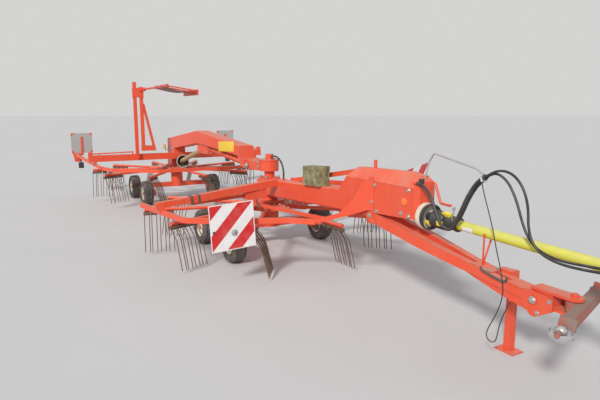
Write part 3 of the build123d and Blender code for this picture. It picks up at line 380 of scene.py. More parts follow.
def board_sheet(name, corner_frames, side, stripe_side, plain):
    """Slanting red and white bands inside a pale rim on one face, a plain colour on the other."""
    coat = Coat(name, Coat_Weight=0.25)
    spot = coat.spot()
    facing = coat.facing()[0]
    y = coat.parts(spot)[1]
    tone = None
    for low_y, high_y, corner, across, down in corner_frames:
        away = coat.vectors("SUBTRACT", spot, tuple(corner))[0]
        u = coat.dot(away, tuple(across)) / side
        v = coat.dot(away, tuple(down)) / side
        band = ((u + v) * 3 % 2) < 1
        inside = (u > RIM_SHARE) * (u < 1 - RIM_SHARE) * (v > RIM_SHARE) * (v < 1 - RIM_SHARE)
        face = coat.mix((band * inside).clip(), BOARD_WHITE, BOARD_RED)
        here = (y > low_y) * (y < high_y)
        tone = face if tone is None else coat.mix(here, tone, face)
    striped = (facing * stripe_side) > 0.3
    tone = coat.mix(striped, plain, tone)
    clouds = coat.noise(14, 4)
    dirt = (clouds * 1.6 - 0.68).clip() * 0.4
    tone = coat.mix(dirt, tone, (0.40, 0.33, 0.28))
    return coat.finish(tone, 0.32 + dirt * 0.4, coat.noise(190, 2), 0.06, 0.0004)


def front_board_sheet():
    """Striped ahead."""
    frames = [
        (*RIGHT_HALF, *board_frame(NEAR_BOARD, BOARD_SIDE, *NEAR_TILT)),
        (*LEFT_HALF, *board_frame(FAR_BOARD, BOARD_SIDE, *FAR_TILT)),
    ]
    return board_sheet("front_board_sheet", frames, BOARD_SIDE, 1, (0.34, 0.34, 0.34))


def rear_board_sheet():
    """Striped behind."""
    right, left = [(REAR_BOARD_X, side * REAR_BOARD_Y, REAR_BOARD_Z) for side in SIDES]
    frames = [
        (*RIGHT_HALF, *board_frame(right, REAR_BOARD_SIDE, 0, 0, False)),
        (*LEFT_HALF, *board_frame(left, REAR_BOARD_SIDE, 0, 0, False)),
    ]
    return board_sheet("rear_board_sheet", frames, REAR_BOARD_SIDE, -1, (0.40, 0.39, 0.38))


finishes = {
    "orange_paint": paint("orange_enamel", ORANGE, FADED_AND_HIGHLIT),
    "cream_paint": paint(
        "cream_enamel", (0.62, 0.57, 0.44), (0.72, 0.69, 0.58), dusty=0.8, worn=0.5, rough=0.45
    ),
    "khaki_coat": weathered(),
    "black_plastic": black("dusty_black"),
    "yellow_plastic": paint(
        "yellow_guard", (0.62, 0.56, 0.045), (0.74, 0.72, 0.17),
        dusty=0.45, worn=0.55, rough=0.42, rust=(0.16, 0.13, 0.05),
    ),
    "spring_steel": steel(
        "worn_spring_wire", (0.16, 0.11, 0.085), (0.17, 0.075, 0.035), metallic=0.45, rough=0.55, spread=0.9
    ),
    "bright_steel": steel("zinc_plate", (0.60, 0.60, 0.60), (0.36, 0.33, 0.29)),
    "rubber_hose": black("hose_rubber", (0.016, 0.016, 0.017), dusty=0.55, rough=0.42, grain=420),
}
orange = finishes["orange_paint"]
plastic = finishes["black_plastic"]
rubber = finishes["rubber_hose"]
cream_paint = finishes["cream_paint"]
dark_steel = steel("oiled_steel", (0.16, 0.155, 0.15), (0.09, 0.06, 0.04), metallic=0.7, rough=0.4)
worn_steel = steel(
    "scuffed_steel", (0.55, 0.54, 0.52), (0.30, 0.24, 0.18), metallic=0.8, rough=0.36, spread=0.8
)
lens_red = paint("orange_lens", (0.85, 0.16, 0.02), (0.9, 0.30, 0.06), dusty=0.3, worn=0.0, rough=0.2)
lens_amber = paint("amber_lens", (0.80, 0.28, 0.02), (0.85, 0.40, 0.08), dusty=0.3, worn=0.0, rough=0.2)
label_yellow = paint(
    "yellow_label", (0.80, 0.52, 0.015), (0.85, 0.62, 0.10),
    dusty=0.35, worn=0.25, rough=0.35, rust=(0.5, 0.1, 0.05),
)
label_white = paint(
    "white_label", (0.74, 0.74, 0.72), (0.80, 0.79, 0.77),
    dusty=0.4, worn=0.2, rough=0.35, rust=(0.3, 0.28, 0.25),
)
yellow_lug = paint(
    "yellow_lug", (0.80, 0.58, 0.02), (0.85, 0.68, 0.10),
    dusty=0.3, worn=0.3, rough=0.38, rust=(0.2, 0.14, 0.02),
)

# Pieces with a finish of their own, the others by their slot
tyres = sorted(node for node in frame["nodes"] if node.endswith("_tyre"))
own_finish = {
    "front_boards": front_board_sheet(),
    "rear_boards": rear_board_sheet(),
    "crosshead": rough_paint(),
    "inner_shaft": paint("tan_tube", (0.40, 0.30, 0.14), (0.52, 0.43, 0.26), dusty=0.7, worn=0.5, rough=0.5),
    "hose_connectors": worn_steel,
}
for node in tyres:
    low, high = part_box(node)
    own_finish[node] = tyre_rubber(node + "_tread", (low + high) / 2)

for row in frame["record"]["subparts"]:
    chosen = own_finish.get(row["node"]) or finishes.get(row["material_slot"])
    if chosen is None:
        continue
    for slot in bpy.data.objects[row["node"]].material_slots:
        slot.material = chosen


class Shape:
    """Solids gathered into one mesh."""

    def __init__(self):
        self.mesh = bmesh.new()

    def prism(self, outline, along):
        """Flat outline pushed along a vector."""
        low = [self.mesh.verts.new(point) for point in outline]
        high = [self.mesh.verts.new(Vector(point) + Vector(along)) for point in outline]
        self.mesh.faces.new(low)
        self.mesh.faces.new(reversed(high))
        count = len(outline)
        for i in range(count):
            j = (i + 1) % count
            self.mesh.faces.new((low[j], low[i], high[i], high[j]))

    def ring(self, centre, side, other, radius, sides):
        return [
            self.mesh.verts.new(centre + (side * across + other * up) * radius)
            for across, up in turn_spots(1, sides)
        ]

    def skin(self, low, high):
        """Faces between two rings."""
        for i in range(len(low)):
            j = (i + 1) % len(low)
            self.mesh.faces.new((low[i], low[j], high[j], high[i]))

    def close(self, rings):
        self.mesh.faces.new(reversed(rings[0]))
        self.mesh.faces.new(rings[-1])

    def turned(self, start, axis, profile, sides):
        """Solid of revolution: pairs of distance along the axis and radius."""
        axis = Vector(axis).normalized()
        side = axis.orthogonal().normalized()
        other = axis.cross(side)
        rings = [
            self.ring(Vector(start) + axis * along, side, other, radius, sides)
            for along, radius in profile
        ]
        for low, high in zip(rings, rings[1:]):
            self.skin(low, high)
        self.close(rings)

    def rod(self, start, end, radius, sides=12):
        run = Vector(end) - Vector(start)
        self.turned(start, run, ((0, radius), (run.length, radius)), sides)

    def pipe(self, points, radius, sides, closed=False):
        """Round rod through points, one mitred ring at each."""
        points = [Vector(p) for p in points]
        count = len(points)
        rings = []
        side = None
        for i, point in enumerate(points):
            before = points[i - 1] if (i or closed) else point
            after = points[(i + 1) % count] if (i < count - 1 or closed) else point
            run = (after - before).normalized()
            side = run.orthogonal() if side is None else side - run * side.dot(run)
            side.normalize()
            rings.append(self.ring(point, side, run.cross(side), radius, sides))
        for low, high in zip(rings, rings[1:]):
            self.skin(low, high)
        if closed:
            self.skin(rings[-1], rings[0])
        else:
            self.close(rings)

    def block(self, centre, size, across=AHEAD, up=UP):
        across = Vector(across).normalized()
        up = Vector(up)
        up = (up - across * up.dot(across)).normalized()
        depth = up.cross(across)
        a, b, c = across * size[0] / 2, depth * size[1] / 2, up * size[2] / 2
        centre = Vector(centre)
        self.prism([centre - c - a - b, centre - c + a - b, centre - c + a + b, centre - c - a + b], c * 2)

    def done(self, name, body, finish, slot, bevel=0.0, smooth=30):
        """The piece itself, riding on its body; bevel in metres, smooth in degrees."""
        bmesh.ops.recalc_face_normals(self.mesh, faces=self.mesh.faces)
        if bevel:
            edges = [
                e for e in self.mesh.edges
                if len(e.link_faces) == 2 and e.calc_face_angle(0) > math.radians(40)
            ]
            bmesh.ops.bevel(self.mesh, geom=edges, offset=bevel, segments=2, profile=0.6, affect="EDGES")
            bmesh.ops.recalc_face_normals(self.mesh, faces=self.mesh.faces)
        data = bpy.data.meshes.new(name)
        self.mesh.to_mesh(data)
        self.mesh.free()
        piece = show(name, data)
        data.materials.append(finish)
        data.shade_smooth()
        data.set_sharp_from_angle(angle=math.radians(smooth))
        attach(piece, body)
        return piece


# Hoses and the pull cord: radius and length in millimetres, what holds the end, stiffness and points
HOSES = {
    "box_hose": (11, 589.5, "object", "medium", (
        (2712, -85, 1073), (2768, -85, 1070), (2830, -85, 1030), (2880, -85, 965), (2918, -85, 890),
        (2955, -85, 828), (3005, -85, 790), (3062, -85, 790), (3105, -85, 825), (3130, -85, 872),
    )),
    "joint_hose": (17, 398, "object", "medium", (
        (3130, -85, 872), (3165, -85, 937.8), (3205, -85, 1025), (3255, -85, 1105), (3305, -85, 1160),
        (3355, -85, 1192),
    )),
    "supply_hose_left": (8, 1300.5, "connector", "medium", (
        (3355, -76, 1192), (3400, -76, 1220.8), (3462, -77, 1212), (3520, -76, 1170), (3566, -77, 1105),
        (3602, -76, 1030), (3634, -77, 950), (3676, -76, 872), (3740, -78, 815), (3826, -76, 786),
        (3925, -78, 780), (4030, -76, 787), (4135, -78, 796), (4240, -76, 800), (4340, -78, 797),
        (4430, -78, 790),
    )),
    "supply_hose_right": (8, 1374, "connector", "medium", (
        (3355, -94, 1192), (3405, -94, 1224), (3475, -97, 1246), (3552, -98, 1236), (3618, -99, 1190),
        (3664, -100, 1120), (3688, -99, 1035), (3694, -100, 948), (3716, -99, 868), (3770, -98, 806),
        (3850, -97, 776), (3945, -98, 766), (4048, -97, 770), (4150, -98, 780), (4250, -97, 785),
        (4345, -98, 782), (4430, -98, 775),
    )),
    "boom_hose": (10, 450, "object", "medium", (
        (70, 0, 1078), (146, 0, 1087), (232, 0, 1074), (308, 0, 1034), (358, 0, 970), (376, 0, 902),
        (368, 0, 850),
    )),
    "pull_cord": (3.5, 1422.5, "object", "limp", (
        (3342, -111, 1160), (3364, -111, 1090), (3398, -109, 1005), (3430, -107, 922), (3458, -104, 835),
        (3482, -103, 747), (3512, -102, 664), (3538, -101, 580), (3550, -100, 494), (3536, -99, 411),
        (3507, -98, 334), (3470, -98, 262), (3438, -99, 190), (3444, -97, 150), (3478, -95, 134),
        (3510, -93, 152), (3518, -90, 195), (3524, -84, 262), (3540, -74, 335), (3560, -64, 390),
        (3570, -58, 434),
    )),
}

# Ribs of the thick hose at the joint, in metres along it: where they begin, their step and their section
RIB_COUNT = 38
RIB_START = 0.016
RIB_STEP = 0.0097
RIB_PROFILE = ((-0.0032, 0.0160), (-0.0016, 0.0196), (0.0016, 0.0196), (0.0032, 0.0160))

# Spiral wrap that holds the two long hoses together, in metres along each of them
WRAP_TURNS = 15
WRAP_STEPS = 13
WRAP_LENGTH = 0.19
WRAP_ON_RIGHT = 1.120
WRAP_ON_LEFT = 1.048
WRAP_WIDE = 1.9
WRAP_HIGH = 0.0125


def hose_line(name, points, radius):
    curve = bpy.data.curves.new(name, "CURVE")
    curve.dimensions = "3D"
    curve.resolution_u = 8
    curve.bevel_depth = radius / 1000
    curve.bevel_resolution = 3
    curve.use_fill_caps = True
    line = curve.splines.new("NURBS")
    line.points.add(len(points) - 1)
    for point, place in zip(line.points, points):
        point.co = (*at(*place), 1)
    line.order_u = 3
    line.use_endpoint_u = True
    return show(name, curve)


def run_of(piece):
    """Points of a hose's own smooth line, read from its spline."""
    line = piece.data.copy()
    line.bevel_depth = 0
    bare = show("bare_line", line)
    bpy.context.view_layer.update()
    mesh = bpy.data.meshes.new_from_object(bare.evaluated_get(bpy.context.evaluated_depsgraph_get()))
    points = [vertex.co.copy() for vertex in mesh.vertices]
    bpy.data.objects.remove(bare)
    return points


def walk(points, distance):
    """Point and direction at a distance along a line."""
    for low, high in zip(points, points[1:]):
        step = (high - low).length
        if distance <= step:
            return low.lerp(high, distance / step), (high - low).normalized()
        distance -= step
    return points[-1], (points[-1] - points[-2]).normalized()


def make_ribs(line):
    ribs = Shape()
    for i in range(RIB_COUNT):
        place, way = walk(line, RIB_START + i * RIB_STEP)
        ribs.turned(place, way, RIB_PROFILE, 18)
    return ribs.done("joint_hose_ribs", "frame", rubber, "rubber_hose")


def make_wrap(right_line, left_line):
    wrap = Shape()
    spiral = []
    for i in range(WRAP_TURNS * WRAP_STEPS):
        share = i / (WRAP_TURNS * WRAP_STEPS)
        near, way = walk(right_line, WRAP_ON_RIGHT + share * WRAP_LENGTH)
        far, _ = walk(left_line, WRAP_ON_LEFT + share * WRAP_LENGTH)
        half = (near - far) / 2
        high = way.cross(half).normalized()
        turn = math.tau * i / WRAP_STEPS
        wide = half * (WRAP_WIDE * math.cos(turn))
        spiral.append((near + far) / 2 + wide + high * (WRAP_HIGH * math.sin(turn)))
    wrap.pipe(spiral, 0.0032, 6)
    return wrap.done("hose_wrap", "frame", plastic, "black_plastic")


hose_pieces = {}
for node, (radius, length, far_end, stiffness, points) in HOSES.items():
    piece = hose_line("soft_" + node, points, radius)
    piece.data.materials.append(rubber)
    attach(piece, "frame")
    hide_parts(node)
    hose_pieces[node] = piece

ribs = make_ribs(run_of(hose_pieces["joint_hose"]))
wrap = make_wrap(run_of(hose_pieces["supply_hose_right"]), run_of(hose_pieces["supply_hose_left"]))
for node, (radius, length, far_end, stiffness, points) in HOSES.items():
    at(*points[0])
    length / 1000
    radius / 500


# Bolts: one tree of nodes stands a bolt head on every point of a mesh
BOLT_INPUTS = (("Head radius", 0.012), ("Head height", 0.009), ("Washer radius", 0.018))
WASHER_THICK = 0.0045


def bolt_tree(finish):
    """The tree, and the identifier of each of its inputs."""
    tree = bpy.data.node_groups.new("bolt_heads", "GeometryNodeTree")
    face = tree.interface
    face.new_socket("Geometry", in_out="INPUT", socket_type="NodeSocketGeometry")
    names = {}
    for label, value in BOLT_INPUTS:
        socket = face.new_socket(label, in_out="INPUT", socket_type="NodeSocketFloat")
        socket.default_value = value
        names[label] = socket.identifier
    face.new_socket("Geometry", in_out="OUTPUT", socket_type="NodeSocketGeometry")
    given = add_node(tree, "NodeGroupInput").outputs
    head = add_node(
        tree, "GeometryNodeMeshCylinder", None,
        {"Vertices": 6, "Radius": given["Head radius"], "Depth": given["Head height"]},
    )
    washer = add_node(
        tree, "GeometryNodeMeshCylinder", None,
        {"Vertices": 14, "Radius": given["Washer radius"], "Depth": WASHER_THICK},
    )
    rise = add_node(tree, "ShaderNodeMath", {"operation": "MULTIPLY"}, {0: given["Head height"], 1: 0.7})
    lift = add_node(tree, "ShaderNodeCombineXYZ", None, {"Z": rise.outputs[0]})
    raised = add_node(
        tree, "GeometryNodeTransform", None,
        {"Geometry": head.outputs["Mesh"], "Translation": lift.outputs[0]},
    )
    both = add_node(tree, "GeometryNodeJoinGeometry", None, {0: raised.outputs[0]})
    tree.links.new(washer.outputs["Mesh"], both.inputs[0])
    named = "GeometryNodeInputNamedAttribute"
    facing = add_node(tree, named, {"data_type": "FLOAT_VECTOR"}, {"Name": "facing"})
    size = add_node(tree, named, {"data_type": "FLOAT"}, {"Name": "size"})
    turn = add_node(
        tree, "FunctionNodeAlignEulerToVector", {"axis": "Z"}, {"Vector": facing.outputs["Attribute"]}
    )
    heads = add_node(
        tree, "GeometryNodeInstanceOnPoints", None,
        {
            "Points": given["Geometry"], "Instance": both.outputs[0],
            "Rotation": turn.outputs[0], "Scale": size.outputs["Attribute"],
        },
    )
    real = add_node(tree, "GeometryNodeRealizeInstances", None, {0: heads.outputs[0]})
    coat = add_node(tree, "GeometryNodeSetMaterial", None, {0: real.outputs[0], "Material": finish})
    add_node(tree, "NodeGroupOutput", None, {0: coat.outputs[0]})
    return tree, names


BOLTS = bolt_tree(worn_steel)


def bolts(name, body, rows):
    """rows: place in millimetres, the way it faces, and its size against the usual."""
    data = bpy.data.meshes.new(name + "_points")
    data.from_pydata([at(*place) for place, way, size in rows], [], [])
    facing = data.attributes.new("facing", "FLOAT_VECTOR", "POINT")
    for point, (place, way, size) in zip(facing.data, rows):
        point.vector = Vector(way).normalized()
    sizes = data.attributes.new("size", "FLOAT", "POINT")
    for point, (place, way, size) in zip(sizes.data, rows):
        point.value = size
    data.update()
    seed = show(name + "_points", data)
    tree, names = BOLTS
    layer = seed.modifiers.new("heads", "NODES")
    layer.node_group = tree
    for label, value in BOLT_INPUTS:
        layer[names[label]] = value
    seed.update_tag()
    bpy.context.view_layer.update()
    ready = seed.evaluated_get(bpy.context.evaluated_depsgraph_get())
    piece = show(name, bpy.data.meshes.new_from_object(ready))
    piece.data.name = name
    bpy.data.objects.remove(seed)
    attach(piece, body)


# Bolts of the frame, by x and height, x and y or all three: head box, its flange, drawbar and side arms
BOX_BOLTS = ((2225, 1004), (2646, 1014), (2253, 790), (2563, 826), (2650, 815))
BOX_BOLT_Y = 107
FLANGE_BOLTS = ((2160, 740), (2160, 800), (2190, 860))
FLANGE_BOLT_Y = 109
DRAWBAR_TOP_BOLTS = ((3378, 42, 578), (3700, 42, 541))
PLATE_PIN = (3735, 68.5, 498)
PLATE_BOLTS = ((3770, 428), (3845, 518))
PLATE_BOLT_Y = 64.5
SIDE_ARM_BOLTS = ((360, 300), (410, 300), (360, 430), (410, 430))
SIDE_ARM_BOLT_Z = 751
ARM_END_YS = (1090, 1110)
ARM_END_X = 403
ARM_END_Z = 702


def frame_bolts():
    rows = []
    for side in SIDES:
        out = (0, side, 0)
        rows += [((x, side * BOX_BOLT_Y, z), out, 1.0) for x, z in BOX_BOLTS]
        rows += [((x, side * FLANGE_BOLT_Y, z), out, 1.2) for x, z in FLANGE_BOLTS]
        rows += [((x, side * y, z), UP, 0.8) for x, y, z in DRAWBAR_TOP_BOLTS]
        rows.append(((PLATE_PIN[0], side * PLATE_PIN[1], PLATE_PIN[2]), out, 1.3))
        rows += [((x, side * PLATE_BOLT_Y, z), out, 0.8) for x, z in PLATE_BOLTS]
        rows += [((x, side * y, SIDE_ARM_BOLT_Z), UP, 1.2) for x, y in SIDE_ARM_BOLTS]
        rows += [((ARM_END_X, side * y, ARM_END_Z), BACK, 1.1) for y in ARM_END_YS]
    bolts("frame_bolts", "frame", rows)


# Bolts over the corners of the swivel column's plate, and on the drum that turns above it
COLUMN_CORNER = 78
COLUMN_BOLT_Z = {-1: 831, 1: 832}
DRUM_TOP_Z = 1037
DRUM_RING = 92
BOOM_PIN = (-420, 119, 930)
EAR_BOLTS = ((-95, 107, 1000), (-95, 107, 940))


def column_bolts():
    rows = [
        ((end * COLUMN_CORNER, side * COLUMN_CORNER, COLUMN_BOLT_Z[end]), UP, 1.3)
        for end in (-1, 1) for side in SIDES
    ]
    bolts("column_bolts", "frame", rows)


def drum_bolts():
    rows = [((x, y, DRUM_TOP_Z), UP, 0.9) for x, y in turn_spots(DRUM_RING, 8, 0.5)]
    for side in SIDES:
        for (x, y, z), size in ((BOOM_PIN, 2.2), (EAR_BOLTS[0], 1.1), (EAR_BOLTS[1], 1.1)):
            rows.append(((x, side * y, z), (0, side, 0), size))
    bolts("drum_bolts", "swivel_drum", rows)


# Bolts of the boom and its tail, over the rear beam's plates, and round the drive tube's flange
BOOM_BOLTS = ((-2060, 1090), (-2430, 1090), (-2060, 985), (-2430, 985))
BOOM_BOLT_Y = 76
TAIL_BOLT_XS = (-4130, -4040, -3940, -3840)
TAIL_BOLT_Y = 101
TAIL_BOLT_Z = 935
REAR_PLATE_X = -3700
REAR_PLATE_Y = 1449
REAR_PLATE_SPREAD = 60
REAR_PLATE_Z = 874
DRIVE_FLANGE = (-1974, 1028)
DRIVE_FLANGE_RING = 56


def rear_bolts():
    rows = []
    for side in SIDES:
        out = (0, side, 0)
        rows += [((x, side * BOOM_BOLT_Y, z), out, 1.2) for x, z in BOOM_BOLTS]
        rows += [((x, side * TAIL_BOLT_Y, TAIL_BOLT_Z), out, 1.4) for x in TAIL_BOLT_XS]
        for y in (REAR_PLATE_Y - REAR_PLATE_SPREAD, REAR_PLATE_Y + REAR_PLATE_SPREAD):
            rows.append(((REAR_PLATE_X, side * y, REAR_PLATE_Z), UP, 1.2))
    flange_x, flange_z = DRIVE_FLANGE
    rows += [((flange_x, y, flange_z + z), AHEAD, 0.9) for y, z in turn_spots(DRIVE_FLANGE_RING, 6)]
    bolts("rear_bolts", "rear_frame", rows)


NUT_RING = 54
NUT_FACE_Y = 693


def wheel_nuts(node):
    """Four nuts on one wheel's outer face."""
    wheel = node[: -len("_tyre")]
    low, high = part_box(node)
    middle = (low + high) / 2
    side = 1 if middle.y > 0 else -1
    x, z = middle.x * 1000 - FRONT_X, middle.z * 1000
    rows = [
        ((x + across, side * NUT_FACE_Y, z + up), (0, side, 0), 0.9)
        for across, up in turn_spots(NUT_RING, 4, 0.5)
    ]
    bolts(wheel + "_nuts", wheel + "_wheel", rows)


# Rotors: how far out bolts stand on each arm and sleeve and on the hub, and how far over the arms
ROTOR_Z = {"front": 490, "rear": 560}
ROTOR_AHEAD = {"front": 0, "rear": REAR_AHEAD}
ARM_COUNT = 10
ARM_PHASE = 0.1
TINE_BOLT_REACHES = (1165, 1258, 1351, 1430)
SLEEVE_BOLT_REACHES = (330, 430)
HUB_RING = 232
HUB_BOLTS = 20
TINE_BOLT_RISE = 21
SLEEVE_BOLT_RISE = 30
HUB_BOLT_RISE = 35


def rotor_bolts(place):
    middle, height = ROTOR_AHEAD[place], ROTOR_Z[place]
    rows = []
    for arm in range(ARM_COUNT):
        turn = math.radians(360 / ARM_COUNT * (arm + ARM_PHASE))
        for reaches, rise, size in (
            (TINE_BOLT_REACHES, TINE_BOLT_RISE, 0.8),
            (SLEEVE_BOLT_REACHES, SLEEVE_BOLT_RISE, 0.9),
        ):
            for reach in reaches:
                spot = (middle + reach * math.cos(turn), reach * math.sin(turn), height + rise)
                rows.append((spot, UP, size))
    for x, y in turn_spots(HUB_RING, HUB_BOLTS, 0.3):
        rows.append(((middle + x, y, height + HUB_BOLT_RISE), UP, 1.2))
    bolts(place + "_rotor_bolts", place + "_rotor", rows)


frame_bolts()
column_bolts()
drum_bolts()
rear_bolts()
for node in tyres:
    wheel_nuts(node)
for place in ("front", "rear"):
    rotor_bolts(place)


# Blank label on the boom's right side
LABEL_Y = -100.0
LABEL_CORNERS = ((-1453, 1179), (-873, 1207), (-880, 1075), (-1463, 1040))


def boom_label():
    label = Shape()
    label.prism([at(x, LABEL_Y, z) for x, z in LABEL_CORNERS], (0, -0.0016, 0))
    label.done("boom_label", "rear_frame", label_yellow, "orange_paint", 0.0004)


# Head box: its side, round reflectors, slot in the front and the flange at its back
BOX_SIDE_Y = 106
REFLECTOR_AT = (2599, 919)
REFLECTOR_PROFILE = ((0, 0.030), (0.005, 0.030), (0.006, 0.026), (0.009, 0.024), (0.010, 0.010))
FLANGE_OUTLINE = ((2140, 1066), (2196, 1074), (2206, 716), (2262, 692), (2136, 668))
FLANGE_THICK = 0.004


def box_reflectors():
    reflectors = Shape()
    for side in SIDES:
        spot = at(REFLECTOR_AT[0], side * BOX_SIDE_Y, REFLECTOR_AT[1])
        reflectors.turned(spot, (0, side, 0), REFLECTOR_PROFILE, 28)
    reflectors.done("box_reflectors", "frame", lens_red, "orange_paint", 0, 25)


def box_slot():
    plate = Shape()
    plate.block(at(2722, -54, 1088), (0.004, 0.052, 0.040))
    plate.done("box_slot", "frame", plastic, "black_plastic", 0.0012)


def box_flange():
    flange = Shape()
    for side in SIDES:
        outline = [at(x, side * BOX_SIDE_Y, z) for x, z in FLANGE_OUTLINE]
        flange.prism(outline, (0, side * FLANGE_THICK, 0))
    flange.done("box_flange", "frame", orange, "orange_paint", 0.001)


# Welded seams along the head box's folds and across the drawbar's beams: x and height
FOLD_Z = 1032
FOLD_XS = (1915, 2300, 2690)
FOLD_FOOT_Z = 806
CROSS_SEAMS = ((3240, 594.7), (3400, 573), (3530, 553), (3728, 537))
CROSS_SEAM_YS = (12, 59)


def weld_seams():
    seams = Shape()
    for side in SIDES:
        y = side * BOX_SIDE_Y
        seams.pipe([at(x, y, FOLD_Z) for x in FOLD_XS], 0.0022, 6)
        seams.pipe([at(FOLD_XS[-1], y, z) for z in (FOLD_Z, FOLD_FOOT_Z)], 0.002, 6)
        for x, top in CROSS_SEAMS:
            seams.pipe([at(x, side * y, top) for y in CROSS_SEAM_YS], 0.003, 6)
    seams.done("weld_seams", "frame", orange, "orange_paint")


# Amber reflector behind the rear housing, and the two rods that carry it
AMBER_Y = -104
AMBER_OUTLINE = ((-4480, 1000), (-4345, 985), (-4335, 880), (-4465, 895))
AMBER_ROD_Y = -98
AMBER_ROD_XS = (-4440, -4360)
AMBER_ROD_END_X = -4170


def amber_reflector():
    amber = Shape()
    amber.prism([at(x, AMBER_Y, z) for x, z in AMBER_OUTLINE], (0, -0.010, 0))
    amber.done("amber_reflector", "rear_frame", lens_amber, "orange_paint", 0.002)
    rods = Shape()
    for x in AMBER_ROD_XS:
        route = ((x, 980), (x, 900), (AMBER_ROD_END_X, 880))
        rods.pipe([at(rod_x, AMBER_ROD_Y, z) for rod_x, z in route], 0.006, 8)
    rods.done("amber_rods", "rear_frame", dark_steel, "bright_steel")


# Panels and lamps below the rear boards, and the small corners on the boards
PANEL_X = -5296
PANEL_OUTLINE = ((1638, 806), (1480, 806), (1480, 640), (1600, 640))
CORNER_REACH = 188
CORNER_WIDE = 58
CORNER_HEIGHTS = ((1188, 1130), (812, 870))
LAMP_X = -5280
LAMP_Y = 1500
LAMP_Z = 575
LAMP_SIZE = (0.055, 0.090, 0.110)
LAMP_ROD_ZS = (560, 700)


def rear_panels():
    panels = Shape()
    lamps = Shape()
    for side in SIDES:
        panels.prism([at(PANEL_X, side * y, z) for y, z in PANEL_OUTLINE], (-0.004, 0, 0))
        for level, inner_level in CORNER_HEIGHTS:
            for edge in (-1, 1):
                y = side * REAR_BOARD_Y + edge * CORNER_REACH
                corner = ((y, level), (y - edge * CORNER_WIDE, level), (y, inner_level))
                panels.prism([at(PANEL_X, corner_y, z) for corner_y, z in corner], (0.003, 0, 0))
        lamps.block(at(LAMP_X, side * LAMP_Y, LAMP_Z), LAMP_SIZE)
        foot, head = [at(PANEL_X, side * LAMP_Y, z) for z in LAMP_ROD_ZS]
        lamps.rod(foot, head, 0.008)
    panels.done("rear_panels", "rear_frame", orange, "orange_paint", 0.0008)
    lamps.done("rear_lamps", "rear_frame", plastic, "black_plastic", 0.004)


# Clamp disc and latch on each front board, by their places from its middle
DISC_OUT = 3.5
DISC_Y = 17
DISC_Z = -58
DISC_PROFILE = ((0, 0.030), (0.003, 0.030), (0.005, 0.026), (0.005, 0.018), (0.012, 0.016), (0.014, 0.010))
LATCH_OUT = 5
LATCH_Y = -176
LATCH_Z = -44


def board_discs():
    discs = Shape()
    latches = Shape()
    for x, y, z in (NEAR_BOARD, FAR_BOARD):
        disc_at = at(x + DISC_OUT, y + DISC_Y, z + DISC_Z)
        discs.turned(disc_at, AHEAD, DISC_PROFILE, 24)
        latches.block(at(x + LATCH_OUT, y + LATCH_Y, z + LATCH_Z), (0.005, 0.022, 0.030))
        latches.turned(disc_at, AHEAD, ((0.010, 0.007), (0.018, 0.007)), 6)
    discs.done("board_discs", "frame", worn_steel, "bright_steel", 0, 35)
    latches.done("board_latches", "frame", dark_steel, "bright_steel", 0.001)


# Input shaft: its line, and along it in metres the sleeve's ribs, the neck, the ring and the lugs
SHAFT_BACK = at(2700, 0, 826)
SHAFT_RUN = (at(4500, 0, 781) - SHAFT_BACK).normalized()
SLEEVE_ROOT = 0.0620
SLEEVE_CREST = 0.0665
SLEEVE_START = 0.128
SLEEVE_STEP = 0.0132
SLEEVE_RIBS = 9
NECK_PROFILE = (
    (0.250, 0.046), (0.256, 0.0505), (0.300, 0.0515), (0.306, 0.0480),
    (0.340, 0.0475), (0.350, 0.0525), (0.364, 0.0525), (0.368, 0.036),
)
RING_PROFILE = (
    (0.010, 0.082), (0.012, 0.0965), (0.016, 0.0995), (0.052, 0.0995), (0.056, 0.0975), (0.057, 0.080),
)
LUG_OUT = 0.060
# Lugs: distance along, turn in degrees, size along, across and out
LUGS = (
    (0.262, 110, (0.074, 0.030, 0.030)),
    (0.232, 190, (0.046, 0.034, 0.024)),
    (0.100, 215, (0.034, 0.030, 0.022)),
    (0.262, 330, (0.055, 0.026, 0.028)),
)


def shaft_way(degrees):
    """Way out from the shaft at a turn about it."""
    turn = math.radians(degrees)
    return Vector((0, math.cos(turn), math.sin(turn)))


def shaft_sleeve():
    sleeve = Shape()
    profile = [(0.122, 0.058), (0.124, SLEEVE_ROOT)]
    for i in range(SLEEVE_RIBS):
        start = SLEEVE_START + i * SLEEVE_STEP
        profile += [
            (start, SLEEVE_ROOT), (start + 0.004, SLEEVE_CREST),
            (start + 0.008, SLEEVE_CREST), (start + 0.0120, SLEEVE_ROOT),
        ]
    profile += [(0.249, 0.060), (0.252, 0.050)]
    sleeve.turned(SHAFT_BACK, SHAFT_RUN, profile, 36)
    sleeve.turned(SHAFT_BACK, SHAFT_RUN, NECK_PROFILE, 36)
    sleeve.done("shaft_sleeve", "input_shaft", plastic, "black_plastic", 0, 35)


def shaft_cover_ring():
    cream = Shape()
    cream.turned(SHAFT_BACK, SHAFT_RUN, RING_PROFILE, 48)
    cream.done("shaft_cover_ring", "frame", cream_paint, "cream_paint", 0, 35)


def shaft_lugs():
    lugs = Shape()
    for along, degrees, size in LUGS:
        out = shaft_way(degrees)
        lugs.block(SHAFT_BACK + SHAFT_RUN * along + out * LUG_OUT, size, SHAFT_RUN, out)
    lugs.done("shaft_lugs", "input_shaft", yellow_lug, "yellow_plastic", 0.003)


# Locking lever: its foot, its bends from there and its knob
LEVER_ALONG = 0.335
LEVER_FOOT = Vector((0, -0.036, 0.02))
LEVER_BENDS = ((0, 0, 0), (0.004, -0.012, 0.030), (0.020, -0.016, 0.065), (0.022, -0.016, 0.092))
KNOB_FOOT = Vector((0.022, -0.016, 0.088))
KNOB_PROFILE = ((0, 0.008), (0.006, 0.011), (0.020, 0.011), (0.026, 0.006))


